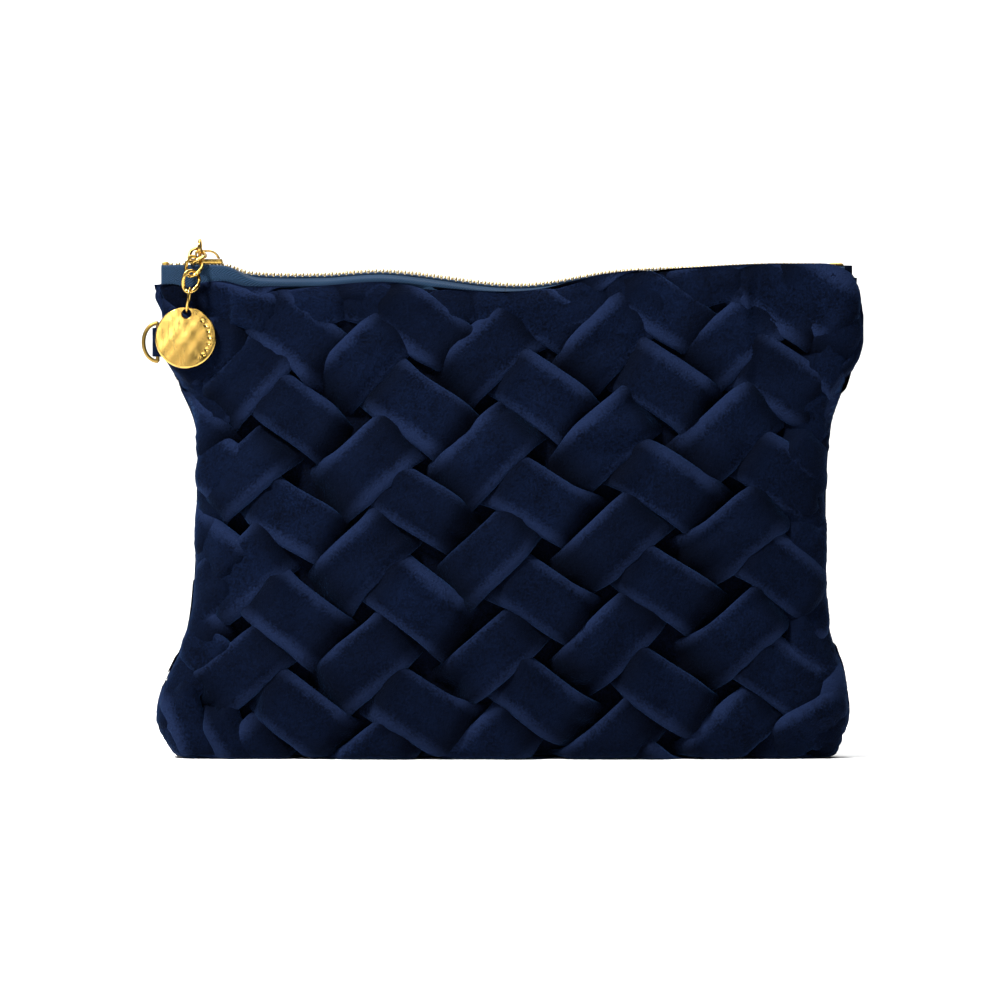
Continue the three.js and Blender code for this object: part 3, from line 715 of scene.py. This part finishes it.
def strip_outline(u, wide, rng, width, length, bend):
    """Where a strip's points lie along and across its own line, which bows and narrows a little by chance."""
    length = length * rng.uniform(0.95, 1.05)
    width = width * rng.uniform(0.95, 1.12)
    ends = rng.uniform(0.88, 1.1, 2)
    pinch = np.where(u < 0, ends[0], ends[1])
    narrowing = 1 - (1 - pinch) * smoothstep(np.abs(u), 0.2, 0.75)
    slide = rng.uniform(-2.2, 2.2) * smoothstep(np.abs(u), 0.2, 0.9) * np.sign(u)
    bowed = (rng.uniform(-1.8, 1.8) + bend) * (1 - u**2)
    sideways = wide * width / 2 * narrowing + bowed + slide
    along = u * length / 2 + rng.uniform(-0.2, 0.2) * wide * width / 2
    return along, sideways


def strip_lift(u, wide, thick, rng, thickness, above):
    """How far a strip's points stand off the wall, and how high its crest is along its line.

    It is high in the middle and dives at both ends. Its top is creased, waved, and pleated towards its ends.
    """
    top = np.maximum(thick, 0)
    rise = CREST - DIVE * smoothstep(np.abs(u), 0.42, 0.84) + rng.uniform(-0.4, 0.4) + above
    body = thickness / 2 * (1 - 0.4 * smoothstep(np.abs(u), 0.5, 0.9))
    roll = rng.uniform(-1.3, 1.3) * wide
    lift = rise + body * thick + roll + top * creases(wide, u, rng)
    for _ in range(3):
        along_wave, across_wave, phase = rng.uniform(2, 8), rng.uniform(1, 5), rng.uniform(0, 2 * np.pi)
        lift = lift + top * 0.26 * np.sin(along_wave * u + across_wave * wide + phase)
    for end in (-1, 1):
        reach = smoothstep(end * u, 0.2, 0.85)
        spread = rng.uniform(3, 6) * (1.4 - 0.5 * np.abs(u))
        lift = lift + top * reach * 0.4 * np.sin(spread * wide + rng.uniform(0, 2 * np.pi))
    return lift, np.maximum(0.9 * (rise + 0.6 * body), 0.6)


def fold(across, girth, angle, rng, width, thickness, length=FOLD_LENGTH, bend=0.0, above=0.0):
    """One visible length of a velvet strip, as rings round a line.

    The line runs along the strip, bowed a little, and dives at both ends under the strips that cross it. Each
    ring is a superellipse, flat in the middle and rolled at its edges. At the hem a fold is turned down.
    """
    u = np.linspace(-1, 1, FOLD_RINGS)[:, None]
    turn = turns(FOLD_SIDES)[None, :]
    wide, thick = bent(np.cos(turn), 0.75), bent(np.sin(turn), 0.85)
    along, sideways = strip_outline(u, wide, rng, width, length, bend)
    lift, crest = strip_lift(u, wide, thick, rng, thickness, above)
    a = np.radians(angle + rng.uniform(-5, 5))
    x = across + along * np.cos(a) - sideways * np.sin(a)
    g = girth + along * np.sin(a) + sideways * np.cos(a)
    hem = hem_girth(x)
    over = hem - g
    turned = HEM_ROLL * np.exp((np.minimum(over, HEM_ROLL) - HEM_ROLL) / HEM_ROLL)
    g = hem - np.where(over > HEM_ROLL, over, turned)
    room = velvet_room(g)
    share = np.clip(room / VELVET_ROOM, 0, 1) ** 0.7
    lift = lift * share * (0.45 + 0.55 * smoothstep(hem - g, 0.0, HEM_FLATTENING))
    points = keep_clear(wall_point(x, g, room, lift, gathered=crest * share))
    return points, np.stack([along, sideways], -1)


class POUCH_OT_velvet_folds(Operator):
    """Make the smocked folds of both faces"""

    bl_idname = "pouch.velvet_folds"
    bl_label = "Velvet folds"

    def execute(self, context):
        given = settings()
        material = velvet("velvet", given.velvet_colour, folded=True)
        rng = np.random.default_rng(given.seed)
        width, thickness = given.strip_width / MM, given.strip_thickness / MM
        for name, side in SIDES:
            builds = {end: Build(side) for _, end in HALVES}
            places = [*hem_folds(), *seam_folds(), *lattice_folds()]
            for number, (across, girth, angle, shape) in enumerate(places):
                sized = {"width": width, "thickness": thickness, **shape}
                along_off, up_off = rng.uniform(-1, 1), rng.uniform(-0.8, 0.8)
                points, uv = fold(across + along_off, girth + up_off, angle, rng, **sized)
                builds[1 if across > 0 else -1].tube(points, uv + (number * FOLD_UV_STEP, 0))
            for half, end in HALVES:
                piece = builds[end].finish(f"{name}_folds_{half}", material, "velvet")
                on_wall(piece, side, end)
                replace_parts(piece, f"{name}_panel")
        return {"FINISHED"}


SHEET_REACH = 110  # how far from the middle a sheet's top edge follows the zip
GROUND_ROOM, GROUND_AT_ZIP = 6.4, 1.6  # how far into the wall it lies, below and round the zip
GROUND_BELOW_HEM = 0.6
GROUND_UNDER = 1.2  # how much deeper than the folds the ground stays behind the charm


def sheet_grid(end, start, top, inset, columns, rows):
    """A grid over half a wall's flat pattern, from the middle to its seam and from a girth up to the top."""
    share = np.sin(np.linspace(0, np.pi / 2, columns))[:, None]
    girth = start + (top(end * SHEET_REACH * share) - start) * np.linspace(0, 1, rows)[None, :]
    return seam_across(girth, end, inset(girth)) * share, girth


class POUCH_OT_velvet_ground(Operator):
    """Make the flat velvet that the folds are sewn to"""

    bl_idname = "pouch.velvet_ground"
    bl_label = "Velvet ground"

    def execute(self, context):
        def top(across):
            return hem_girth(across) - GROUND_BELOW_HEM

        def room(girth):
            return thinned(GROUND_ROOM, GROUND_AT_ZIP, girth)

        # The ground is the velvet painted darker, at 0.4 of its colour: painted shade in the holes between
        # the folds.
        material = velvet("velvet_ground", settings().velvet_colour, 0.4)
        for name, side, half, end in QUARTERS:
            across, girth = sheet_grid(end, UNDER_BASE, top, room, 90, 120)
            points = keep_clear(wall_point(across, girth, room(girth), 0 * across), under=GROUND_UNDER)
            build = Build(side)
            build.grid(points, np.stack([across, girth], -1), flip=end > 0)
            piece = build.finish(f"{name}_ground_{half}", material, "velvet")
            modifier(piece, "SOLIDIFY", thickness=0.5 * MM, offset=-1)
            on_wall(piece, side, end)
        return {"FINISHED"}


# ---------- Lining and wadding ----------

INNER_START = -12  # the girth at which the layers inside the wall end, under the base
FLOOR_RISE = 0.3  # how much higher their bottoms lie along the middle of the base than beside the wall
LINING_ROOM, LINING_AT_ZIP = 11.2, 3.3
LINING_THINNING = (118, 142)
LINING_FLOOR, LINING_BELOW_ZIP = 7.2, 7.4
WADDING_ROOM, WADDING_FLOOR, WADDING_TOP = 7.4, 4.4, 121


def cloth_sheet(side, end, inset, floor, top, columns=60, rows=80):
    """A smooth layer inside the wall: the wall's surface drawn in by inset, from its floor to its top."""
    across, girth = sheet_grid(end, INNER_START, top, inset, columns, rows)
    points = wall_point(across, girth, inset(girth), 0 * across)
    points[..., 2] = np.maximum(points[..., 2], floor + FLOOR_RISE * smoothstep(-girth, 0, -INNER_START))
    build = Build(side)
    build.grid(points, np.stack([across, girth], -1), flip=end > 0)
    return build


class POUCH_OT_lining(Operator):
    """Make the satin lining of both walls"""

    bl_idname = "pouch.lining"
    bl_label = "Lining"

    def execute(self, context):
        def room(girth):
            return LINING_ROOM - (LINING_ROOM - LINING_AT_ZIP) * smoothstep(girth, *LINING_THINNING)

        def top(across):
            return zip_height(across) - LINING_BELOW_ZIP

        material = woven("lining", settings().lining_colour, 0.35, 50.0, 0.38, 0.2)
        for name, side, half, end in QUARTERS:
            build = cloth_sheet(side, end, room, LINING_FLOOR, top)
            piece = build.finish(f"{name}_lining_{half}", material, "lining")
            modifier(piece, "SOLIDIFY", thickness=0.4 * MM, offset=-1)
            on_wall(piece, side, end)
            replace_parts(piece, f"{name}_lining")
        return {"FINISHED"}


class POUCH_OT_wadding(Operator):
    """Make the soft wadding behind the velvet of both walls"""

    bl_idname = "pouch.wadding"
    bl_label = "Wadding"

    def execute(self, context):
        def room(girth):
            return WADDING_ROOM + 0 * girth

        def top(across):
            return WADDING_TOP + 0 * across

        material = fibre("wadding", (0.72, 0.75, 0.78))
        for name, side, half, end in QUARTERS:
            build = cloth_sheet(side, end, room, WADDING_FLOOR, top, 40, 60)
            piece = build.finish(f"{name}_wadding_{half}", material, "wadding")
            modifier(piece, "SOLIDIFY", thickness=1.5 * MM, offset=-1)
            on_wall(piece, side, end)
            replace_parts(piece, f"{name}_wadding")
        return {"FINISHED"}


# ---------- Zip ----------

ZIP_START, ZIP_END = -110, 108
TAPE_EDGE, TAPE_TURN = 1.6, 3.8  # from the middle to the tape's edge, and to where it starts to turn down
TAPE_WIDTH = 12.5
TOOTH_PITCH, TOOTH_LENGTH = 2.33, 0.95
FIRST_TOOTH = ZIP_START + 2.6
TOOTH_COUNT = 90
SLIDER_X = -96
PARTED = (-4.2, 2.1)  # where the rows are fully apart and where they have closed, from the slider's middle
FOLD_RADIUS = 0.7
FLAT_SHARE, FOLD_SHARE = 0.18, 0.2  # of the tape's width beside the teeth, and round its fold
HANG, HANG_AT_ENDS, HANG_BAND = 7.3, 5.2, (98, 107)  # how far it hangs below its fold
LEVEL = 0.1  # how far its flat part lies under the zip's middle where the slider stops
DROOP, DROOP_BAND = (0.8, 0.5), (78, 88)  # how much lower it lies elsewhere, in all and for each mm of width
CORD_REACH, CORD_RADIUS, CORD_SIDES = 1.65, 0.45, 8
# Rings of a tooth from its heel to its head: how far each is from the middle, and its share of the full size.
TOOTH_RINGS = [(2.1, 0.35), (1.95, 0.8), (1.2, 1.0), (0.4, 1.0), (-0.25, 0.95), (-0.5, 0.75), (-0.6, 0.3)]
TOOTH_RISE = 0.1


def parting(x):
    """How far each row stands off the middle: nothing in the closed zip, 1 mm at its open start."""
    return 1 - smoothstep(x, SLIDER_X + PARTED[0], SLIDER_X + PARTED[1])


def tape_section(x):
    """The tape's section at each x: flat beside the teeth, then round the fold and down."""
    s = np.linspace(0, 1, 24)[None, :]
    hang = HANG - (HANG - HANG_AT_ENDS) * smoothstep(np.abs(x), *HANG_BAND)
    turn = np.clip((s - FLAT_SHARE) / FOLD_SHARE, 0, 1) * np.pi / 2
    edge = TAPE_EDGE + parting(x)
    flat = edge + (TAPE_TURN - edge) * np.clip(s / FLAT_SHARE, 0, 1)
    depth = flat + FOLD_RADIUS * np.sin(turn)
    slope = LEVEL + (DROOP[0] + DROOP[1] * (flat - edge)) * (1 - smoothstep(np.abs(x), *DROOP_BAND))
    down = np.clip((s - FLAT_SHARE - FOLD_SHARE) / (1 - FLAT_SHARE - FOLD_SHARE), 0, 1)
    drop = -slope - FOLD_RADIUS * (1 - np.cos(turn)) - hang * down
    return depth, drop


def cord_points(x):
    """The thick edge of the tape, as rings of a cord that runs beside the teeth."""
    turn = turns(CORD_SIDES)[None, :]
    reach = CORD_REACH + parting(x) + CORD_RADIUS * np.cos(turn)
    return stacked(x, -reach, zip_height(x) - CORD_RADIUS + CORD_RADIUS * np.sin(turn))


def tooth(x):
    """A tooth: rounded rings from its heel over the tape to its domed head past the middle."""
    reach, size = np.array(TOOTH_RINGS).T[:, :, None]
    turn = turns(10)[None, :] + np.pi / 10
    along = x + TOOTH_LENGTH / 2 * (1 + size * bent(np.cos(turn), 0.6))
    height = zip_height(x) + TOOTH_RISE + size * bent(np.sin(turn), 0.6)
    return stacked(along, -reach - parting(x), height)


def wire(path, radius, sides=12):
    """A round wire carried round a closed path: rings square to it, turned away from the path's middle."""
    ahead = np.roll(path, -1, 0) - np.roll(path, 1, 0)
    ahead /= np.linalg.norm(ahead, axis=1, keepdims=True)
    away = path - path.mean(0)
    away -= (away * ahead).sum(1, keepdims=True) * ahead
    away /= np.linalg.norm(away, axis=1, keepdims=True)
    other = np.cross(ahead, away)
    turn = turns(sides)[None, :, None]
    return path[:, None] + radius * (away[:, None] * np.cos(turn) + other[:, None] * np.sin(turn))


def rounded_block(centre, half, power, rings=12, sides=24):
    """A superellipsoid: a block whose edges are round, as rings along X."""
    end = np.pi / 2 - 0.06  # a little short of the tip, where a small face closes it
    up = np.linspace(-end, end, rings)[:, None]
    turn = turns(sides)[None, :]
    round_x = bent(np.cos(up), power)
    y = half[1] * round_x * bent(np.cos(turn), power)
    z = half[2] * round_x * bent(np.sin(turn), power)
    return stacked(half[0] * bent(np.sin(up), power), y, z) + centre


class POUCH_OT_zip_tapes(Operator):
    """Make the woven tapes of the zip with the thick edge that the teeth are clamped to"""

    bl_idname = "pouch.zip_tapes"
    bl_label = "Zip tapes"

    def execute(self, context):
        material = woven("zip_tape", settings().tape_colour, 0.9, 2.2, 0.8, 0.04)
        for name, side, half, end in QUARTERS:
            limits = (ZIP_START, 0) if end < 0 else (0, ZIP_END)
            x = np.linspace(*limits, 150)[:, None]
            depth, drop = tape_section(x)
            run = np.linspace(0, TAPE_WIDTH, depth.shape[1])[None, :]
            build = Build(side)
            build.grid(stacked(x, -depth, zip_height(x) + drop), stacked(x, run, 0)[..., :2])
            piece = build.finish(f"{name}_tape_{half}", material, "zip_tape")
            modifier(piece, "SOLIDIFY", thickness=0.5 * MM, offset=0)
            on_wall(piece, side, end)
            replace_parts(piece, f"{name}_zip_tape")
            x = np.linspace(*limits, 120)[:, None]
            cord = Build(side)
            cord.tube(cord_points(x), stacked(x, turns(CORD_SIDES)[None, :], 0)[..., :2], flip=True)
            on_wall(cord.finish(f"{name}_tape_cord_{half}", material, "zip_tape"), side, end)
        return {"FINISHED"}


class POUCH_OT_teeth(Operator):
    """Make both rows of brass teeth"""

    bl_idname = "pouch.teeth"
    bl_label = "Zip teeth"

    def execute(self, context):
        material = metal("tooth_brass", (0.46, 0.37, 0.21), 0.28, 400.0)
        for name, side in SIDES:
            start = FIRST_TOOTH + (TOOTH_PITCH / 2 if side == BACK else 0)
            builds = {end: Build(side) for _, end in HALVES}
            for i in range(TOOTH_COUNT):
                x = start + i * TOOTH_PITCH
                builds[1 if x > 0 else -1].tube(tooth(x), flip=True)
            for half, end in HALVES:
                piece = on_wall(builds[end].finish(f"{name}_teeth_{half}", material, "brass"), side, end)
                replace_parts(piece, f"{name}_teeth")
        return {"FINISHED"}


class POUCH_OT_stops(Operator):
    """Make the clips that stop the slider at both ends of the zip"""

    bl_idname = "pouch.stops"
    bl_label = "Zip stops"

    def execute(self, context):
        material = metal("stop_brass", settings().brass_colour, 0.25, 400.0)
        for node in ("front_top_stop", "back_top_stop", "bottom_stop"):
            low, high = cad_box(node)
            build = Build()
            build.tube(rounded_block((low + high) / 2, (high - low) / 2, 0.4))
            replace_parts(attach(build.finish(f"{node}_clip", material, "brass"), "root"), node)
        return {"FINISHED"}


# ---------- Slider, ring, chain and charm ----------


def bevelled_copy(node, name, material, width):
    """The CAD piece's own shape with its flat faces made whole and its edges rounded."""
    piece = bpy.data.objects.new(name, frame["nodes"][node].data.copy())
    bpy.context.scene.collection.objects.link(piece)
    b = bmesh.new()
    b.from_mesh(piece.data)
    bmesh.ops.remove_doubles(b, verts=b.verts, dist=2e-6)
    bmesh.ops.dissolve_limit(b, angle_limit=0.02, verts=b.verts, edges=b.edges)
    b.to_mesh(piece.data)
    b.free()
    piece.data.materials.clear()
    piece.data.materials.append(material)
    for polygon in piece.data.polygons:
        polygon.use_smooth = True
    rounding = {"limit_method": "ANGLE", "angle_limit": 0.5, "harden_normals": True}
    modifier(piece, "BEVEL", width=width * MM, segments=3, **rounding)
    return piece


def axes_of(node):
    """The middle and axes of a CAD piece in millimetres: its wide, thin and long directions, as rows."""
    mesh = frame["nodes"][node].data
    points = np.zeros(len(mesh.vertices) * 3)
    mesh.vertices.foreach_get("co", points)
    points = np.unique(points.reshape(-1, 3).round(6), axis=0) / MM
    _, vectors = np.linalg.eigh(np.cov(points.T))
    long, wide = vectors[:, 2], vectors[:, 1]
    long = long * np.sign(long[2])
    lead = 0 if abs(wide[0]) > 0.5 else 1
    wide = wide * np.sign(wide[lead])
    return points.mean(0), np.stack([wide, np.cross(long, wide), long])


def in_frame_of(points, node):
    """Points given about a CAD piece's own middle and axes, in millimetres about the body's middle."""
    centre, axes = axes_of(node)
    return points @ axes + centre - (ORIGIN_SHIFT, 0, 0)


class POUCH_OT_slider(Operator):
    """Make the zip's slider with its bridge"""

    bl_idname = "pouch.slider"
    bl_label = "Zip slider"

    def execute(self, context):
        material = metal("slider_brass", settings().brass_colour, 0.2, 300.0)
        for node in ("slider_body", "slider_bridge"):
            piece = bevelled_copy(node, f"{node}_cast", material, 0.22)
            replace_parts(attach(piece, "slider"), node)
        return {"FINISHED"}


LINK_HALF = (2.5, 0.85, 3.45)  # of the wire's path: wide, out of the link's plane, and long
LINK_WIRE, LINK_FILED = 0.6, 1.12
PULL_RING = {"half": (2.6, 2.6), "radius": 0.59, "sides": 14}
JUMP_RING = {"half": (2.2, 3.9), "radius": 0.38, "sides": 12}


def curb_link(steps=72):
    """A link of curb chain: its wire weaves out of the link's plane twice a turn and is filed flat there."""
    t = turns(steps)
    points = wire(LINK_HALF * stacked(np.cos(t), np.sin(2 * t), np.sin(t)), LINK_WIRE, 16)
    points[..., 1] = np.clip(points[..., 1], -LINK_FILED, LINK_FILED)
    return points


def oval_ring(half, radius, sides, steps=64):
    """A ring of round wire, as wide and long as its half sizes say."""
    t = turns(steps)
    return wire(stacked(half[0] * np.cos(t), 0, half[1] * np.sin(t)), radius, sides)


class POUCH_OT_chain(Operator):
    """Make the pull ring, the curb chain and the jump ring that carries the charm"""

    bl_idname = "pouch.chain"
    bl_label = "Pull chain"

    def execute(self, context):
        material = metal("chain_brass", settings().brass_colour, 0.16)
        shapes = {"pull_ring": oval_ring(**PULL_RING), "jump_ring": oval_ring(**JUMP_RING)}
        for k in (1, 2, 3):
            shapes[f"chain_link_{k}"] = curb_link()
        for node, points in shapes.items():
            piece = looped(f"{node}_wire", in_frame_of(points, node), material, "brass")
            modifier(piece, "SUBSURF", levels=1, render_levels=1)
            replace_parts(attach(piece, node), node)
        return {"FINISHED"}


CHARM_RADIUS, CHARM_HALF, HOLE_RADIUS, HOLE_OFFSET = 9.7, 0.5, 1.42, 7.7  # the hole's offset is its middle's
RIM_RADIUS, HOLE_ROUND = 0.45, 0.25  # how round the coin's rim and the edge of its hole are
DOME, BEATEN = 0.3, 0.01
PUNCH_COUNT, PUNCH_RADIUS, PUNCH_DEPTH, PUNCH_SIZE = 7, 7.6, 0.28, 0.42
FIRST_PUNCH, PUNCH_STEP = 48, 15  # degrees round the coin


def charm_section():
    """The coin's section along every ray: how far out and how high each of its points is.

    It goes over the face from the hole to the rim, round the rim, back over the other face and down the hole.
    Rays start at the hole's middle, and the first axis of both arrays goes from ray to ray.
    """
    ray = turns(360)[:, None]
    toward = HOLE_OFFSET * np.sin(ray)
    reach = -toward + np.sqrt(toward**2 + CHARM_RADIUS**2 - HOLE_OFFSET**2)
    turn = np.linspace(0, np.pi, 13)[None, :]
    over = np.linspace(0, 1, 60)[None, 1:-1]
    inner = HOLE_RADIUS + HOLE_ROUND
    face = inner + (reach - RIM_RADIUS - inner) * over
    rim = reach - RIM_RADIUS + RIM_RADIUS * np.sin(turn)
    hole = inner - HOLE_ROUND * np.sin(turn) + 0 * ray
    ones, falling = np.ones_like(face), np.cos(turn) + 0 * ray
    distance = np.concatenate([face, rim, face[:, ::-1], hole], 1)
    height = np.concatenate([ones, falling, -ones, -falling], 1)
    return ray, distance, height


def charm_points():
    """A coin with a hole near its edge, a little domed and beaten, with punched dots along its right edge."""
    ray, distance, height = charm_section()
    x, z = distance * np.cos(ray), HOLE_OFFSET + distance * np.sin(ray)
    dome = 1 + DOME * (1 - (np.hypot(x, z) / CHARM_RADIUS) ** 2)
    beaten = BEATEN * (np.sin(1.1 * x + 0.7 * z) + np.sin(0.9 * z - 1.3 * x + 2))
    y = -CHARM_HALF * height * dome - np.sign(height) * beaten
    for k in range(PUNCH_COUNT):
        angle = np.radians(FIRST_PUNCH - k * PUNCH_STEP)
        away = np.hypot(x - PUNCH_RADIUS * np.cos(angle), z - PUNCH_RADIUS * np.sin(angle))
        y = y + np.where(height > 0.5, PUNCH_DEPTH * np.exp(-((away / PUNCH_SIZE) ** 4)), 0)
    return stacked(x, y, z)


class POUCH_OT_charm(Operator):
    """Make the round charm"""

    bl_idname = "pouch.charm"
    bl_label = "Charm"

    def execute(self, context):
        low, high = cad_box("charm")
        joint = next(j for j in frame["joints"] if j["child"] == "charm")
        hook = np.array(joint["pos_m"]) / MM - (ORIGIN_SHIFT, 0, 0)
        centre = (low + high) / 2
        up = (hook - centre) / np.linalg.norm(hook - centre)
        up[1] = 0
        side = np.cross((0, 1, 0), up)
        points = charm_points() @ np.stack([side, (0, 1, 0), up]) + centre
        material = metal("charm_brass", settings().brass_colour, 0.12, 160.0)
        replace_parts(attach(looped("charm_disc", points, material, "brass"), "charm"), "charm")
        return {"FINISHED"}


# ---------- D-ring and its tab ----------


def d_ring_points(low, high):
    """A D of round wire that fills its box: half an oval to the left, closed by a straight bar."""
    radius = (high[1] - low[1]) / 2
    t = turns(96)
    bar_x, reach = high[0] - radius, high[0] - low[0] - 2 * radius
    half = (high[2] - low[2]) / 2 - radius
    middle = (low + high) / 2
    x = bar_x + np.minimum(np.cos(t), 0) * reach
    return wire(stacked(x, middle[1], middle[2] + half * np.sin(t)), radius, 14)


TAB_HALF, BULGE_HALF, BAR_AT, BULGE_REACH = 0.5, 1.75, 1.8, 2.2  # of the flat tab, and of it round the bar
TAB_RIPPLE = 0.12


def tab_points(low, high):
    """A folded tab as tall and long as its box: rings stacked upwards that bulge round the D-ring's bar."""
    up = np.linspace(-1, 1, 40)[:, None]
    run = turns(64)[None, :]
    x = low[0] + (high[0] - low[0]) * (0.5 - 0.5 * np.cos(run))
    half = TAB_HALF + BULGE_HALF * np.exp(-(((x - low[0] - BAR_AT) / BULGE_REACH) ** 2))
    y = half * np.sin(run) + TAB_RIPPLE * np.sin(9 * up + 2 * run)
    z = (low[2] + high[2]) / 2 + (high[2] - low[2]) / 2 * bent(up, 0.8)
    return stacked(x, y, z)


class POUCH_OT_side_ring(Operator):
    """Make the D-ring and the velvet tab that holds it in the side seam"""

    bl_idname = "pouch.side_ring"
    bl_label = "D-ring and tab"

    def execute(self, context):
        given = settings()
        # The D-ring's colour is the brass colour at half its brightness.
        half_bright_brass = [0.5 * c for c in given.brass_colour]
        points = d_ring_points(*cad_box("d_ring"))
        ring = looped("d_ring_wire", points, metal("ring_brass", half_bright_brass, 0.3, 300.0), "brass")
        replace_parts(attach(ring, "d_ring"), "d_ring")
        build = Build()
        build.tube(tab_points(*cad_box("side_tab")), flip=True)
        tab = build.finish("side_tab_loop", velvet("tab_velvet", given.velvet_colour), "velvet")
        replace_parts(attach(tab, "root"), "side_tab")
        return {"FINISHED"}


# ---------- Stage ----------

VIEW_WIDTH = 0.320
CAMERA_DISTANCE = 1.3
CAMERA_X, CAMERA_HEIGHT = 0.0002, 0.0822
SENSOR = 36.0
FLOOR_HALF, FLOOR_NEAR, SWEEP_START, SWEEP_RADIUS, FLOOR_TOP = 4000, -3000, 900, 1200, 4000
FLOOR_DROP = 0.1  # how far under the pouch's base the floor lies
AIM = Vector((0, 0, 0.08))
# Each light's place and size in metres, and its power in watts.
LIGHTS = {
    "key": ((-0.6, -0.58, 1.05), 0.2, 46),
    "fill": ((-0.32, -1.4, 0.3), 0.26, 1.4),
    "backdrop_wash": ((0, 0.5, 2.4), 2.0, 80),
}


def add_object(name, data, at):
    """An object for a light or a camera, at a place in metres."""
    holder = bpy.data.objects.new(name, data)
    holder.location = at
    bpy.context.scene.collection.objects.link(holder)
    return holder


def floor_points():
    """A floor that sweeps up behind the pouch into a wall."""
    x = np.linspace(-FLOOR_HALF, FLOOR_HALF, 3)[:, None]
    turn = np.linspace(0, np.pi / 2, 24)[None, :]
    wall_y = SWEEP_START + SWEEP_RADIUS
    y = np.concatenate([[[FLOOR_NEAR]], SWEEP_START + SWEEP_RADIUS * np.sin(turn), [[wall_y]]], 1)
    z = np.concatenate([[[0.0]], SWEEP_RADIUS * (1 - np.cos(turn)), [[FLOOR_TOP]]], 1) - FLOOR_DROP
    return stacked(x, y, z)


def area_light(name, at, size, power):
    """A square soft light at a point, turned to the pouch's middle."""
    lamp = bpy.data.lights.new(name, "AREA")
    lamp.size, lamp.energy = size, power
    add_object(name, lamp, at).rotation_euler = (AIM - Vector(at)).to_track_quat("-Z", "Y").to_euler()


def studio_world():
    """A room that is dim behind the viewer and brighter to the sides and ahead."""
    world = bpy.data.worlds.new("studio")
    world.use_nodes = True
    n = Nodes(world.node_tree)
    axes = n.make("ShaderNodeSeparateXYZ", {"Vector": n.make("ShaderNodeTexCoord").outputs["Generated"]})
    strength = n.ranged(axes.outputs["Y"], -0.95, -0.1, 0.02, 0.2)
    n.put(strength, world.node_tree.nodes["Background"].inputs["Strength"])
    return world


def front_camera():
    """A long lens straight in front of the pouch, level with its middle."""
    camera = bpy.data.cameras.new("camera")
    camera.sensor_width = SENSOR
    camera.lens = SENSOR * CAMERA_DISTANCE / VIEW_WIDTH
    camera.clip_start, camera.clip_end = 0.05, 20
    holder = add_object("camera", camera, (CAMERA_X, -CAMERA_DISTANCE, CAMERA_HEIGHT))
    holder.rotation_euler = (np.pi / 2, 0, 0)
    return holder


class POUCH_OT_stage(Operator):
    """Make the floor, the lights and the camera"""

    bl_idname = "pouch.stage"
    bl_label = "Stage"

    def execute(self, context):
        context.scene.view_settings.view_transform = "Standard"
        build = Build()
        build.grid(floor_points())
        paper, _, _ = new_material("floor", Base_Color=(0.9, 0.9, 0.9, 1), Roughness=0.9)
        build.finish("floor", paper)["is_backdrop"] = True
        context.scene.world = studio_world()
        for name, light in LIGHTS.items():
            area_light(name, *light)
        context.scene.camera = front_camera()
        return {"FINISHED"}


# ---------- Panel and registration ----------

OPERATORS = [
    POUCH_OT_velvet_ground,
    POUCH_OT_velvet_folds,
    POUCH_OT_lining,
    POUCH_OT_wadding,
    POUCH_OT_zip_tapes,
    POUCH_OT_teeth,
    POUCH_OT_stops,
    POUCH_OT_slider,
    POUCH_OT_chain,
    POUCH_OT_charm,
    POUCH_OT_side_ring,
    POUCH_OT_stage,
]


class VIEW3D_PT_pouch(Panel):
    """Lists the pouch's pieces and what can be set"""

    bl_label = "Pouch"
    bl_space_type = "VIEW_3D"
    bl_region_type = "UI"
    bl_category = "Pouch"

    def draw(self, context):
        for name in PouchSettings.__annotations__:
            self.layout.prop(context.scene.pouch, name)
        for operator in OPERATORS:
            self.layout.operator(operator.bl_idname)


CLASSES = [PouchSettings, *OPERATORS, VIEW3D_PT_pouch]


def register():
    for made in CLASSES:
        bpy.utils.register_class(made)
    bpy.types.Scene.pouch = PointerProperty(type=PouchSettings)


def unregister():
    del bpy.types.Scene.pouch
    for made in reversed(CLASSES):
        bpy.utils.unregister_class(made)


def main():
    """Makes every piece in order, and measures how big the CAD and the visual model are."""
    register()
    for operator in OPERATORS:
        category, name = operator.bl_idname.split(".")
        getattr(getattr(bpy.ops, category), name)()
    boxes = {"cad": CAD_BOX, "visual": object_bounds()}
    sizes = {key: [list(corner) for corner in corners] for key, corners in boxes.items()}


if __name__ == "__main__":
    main()
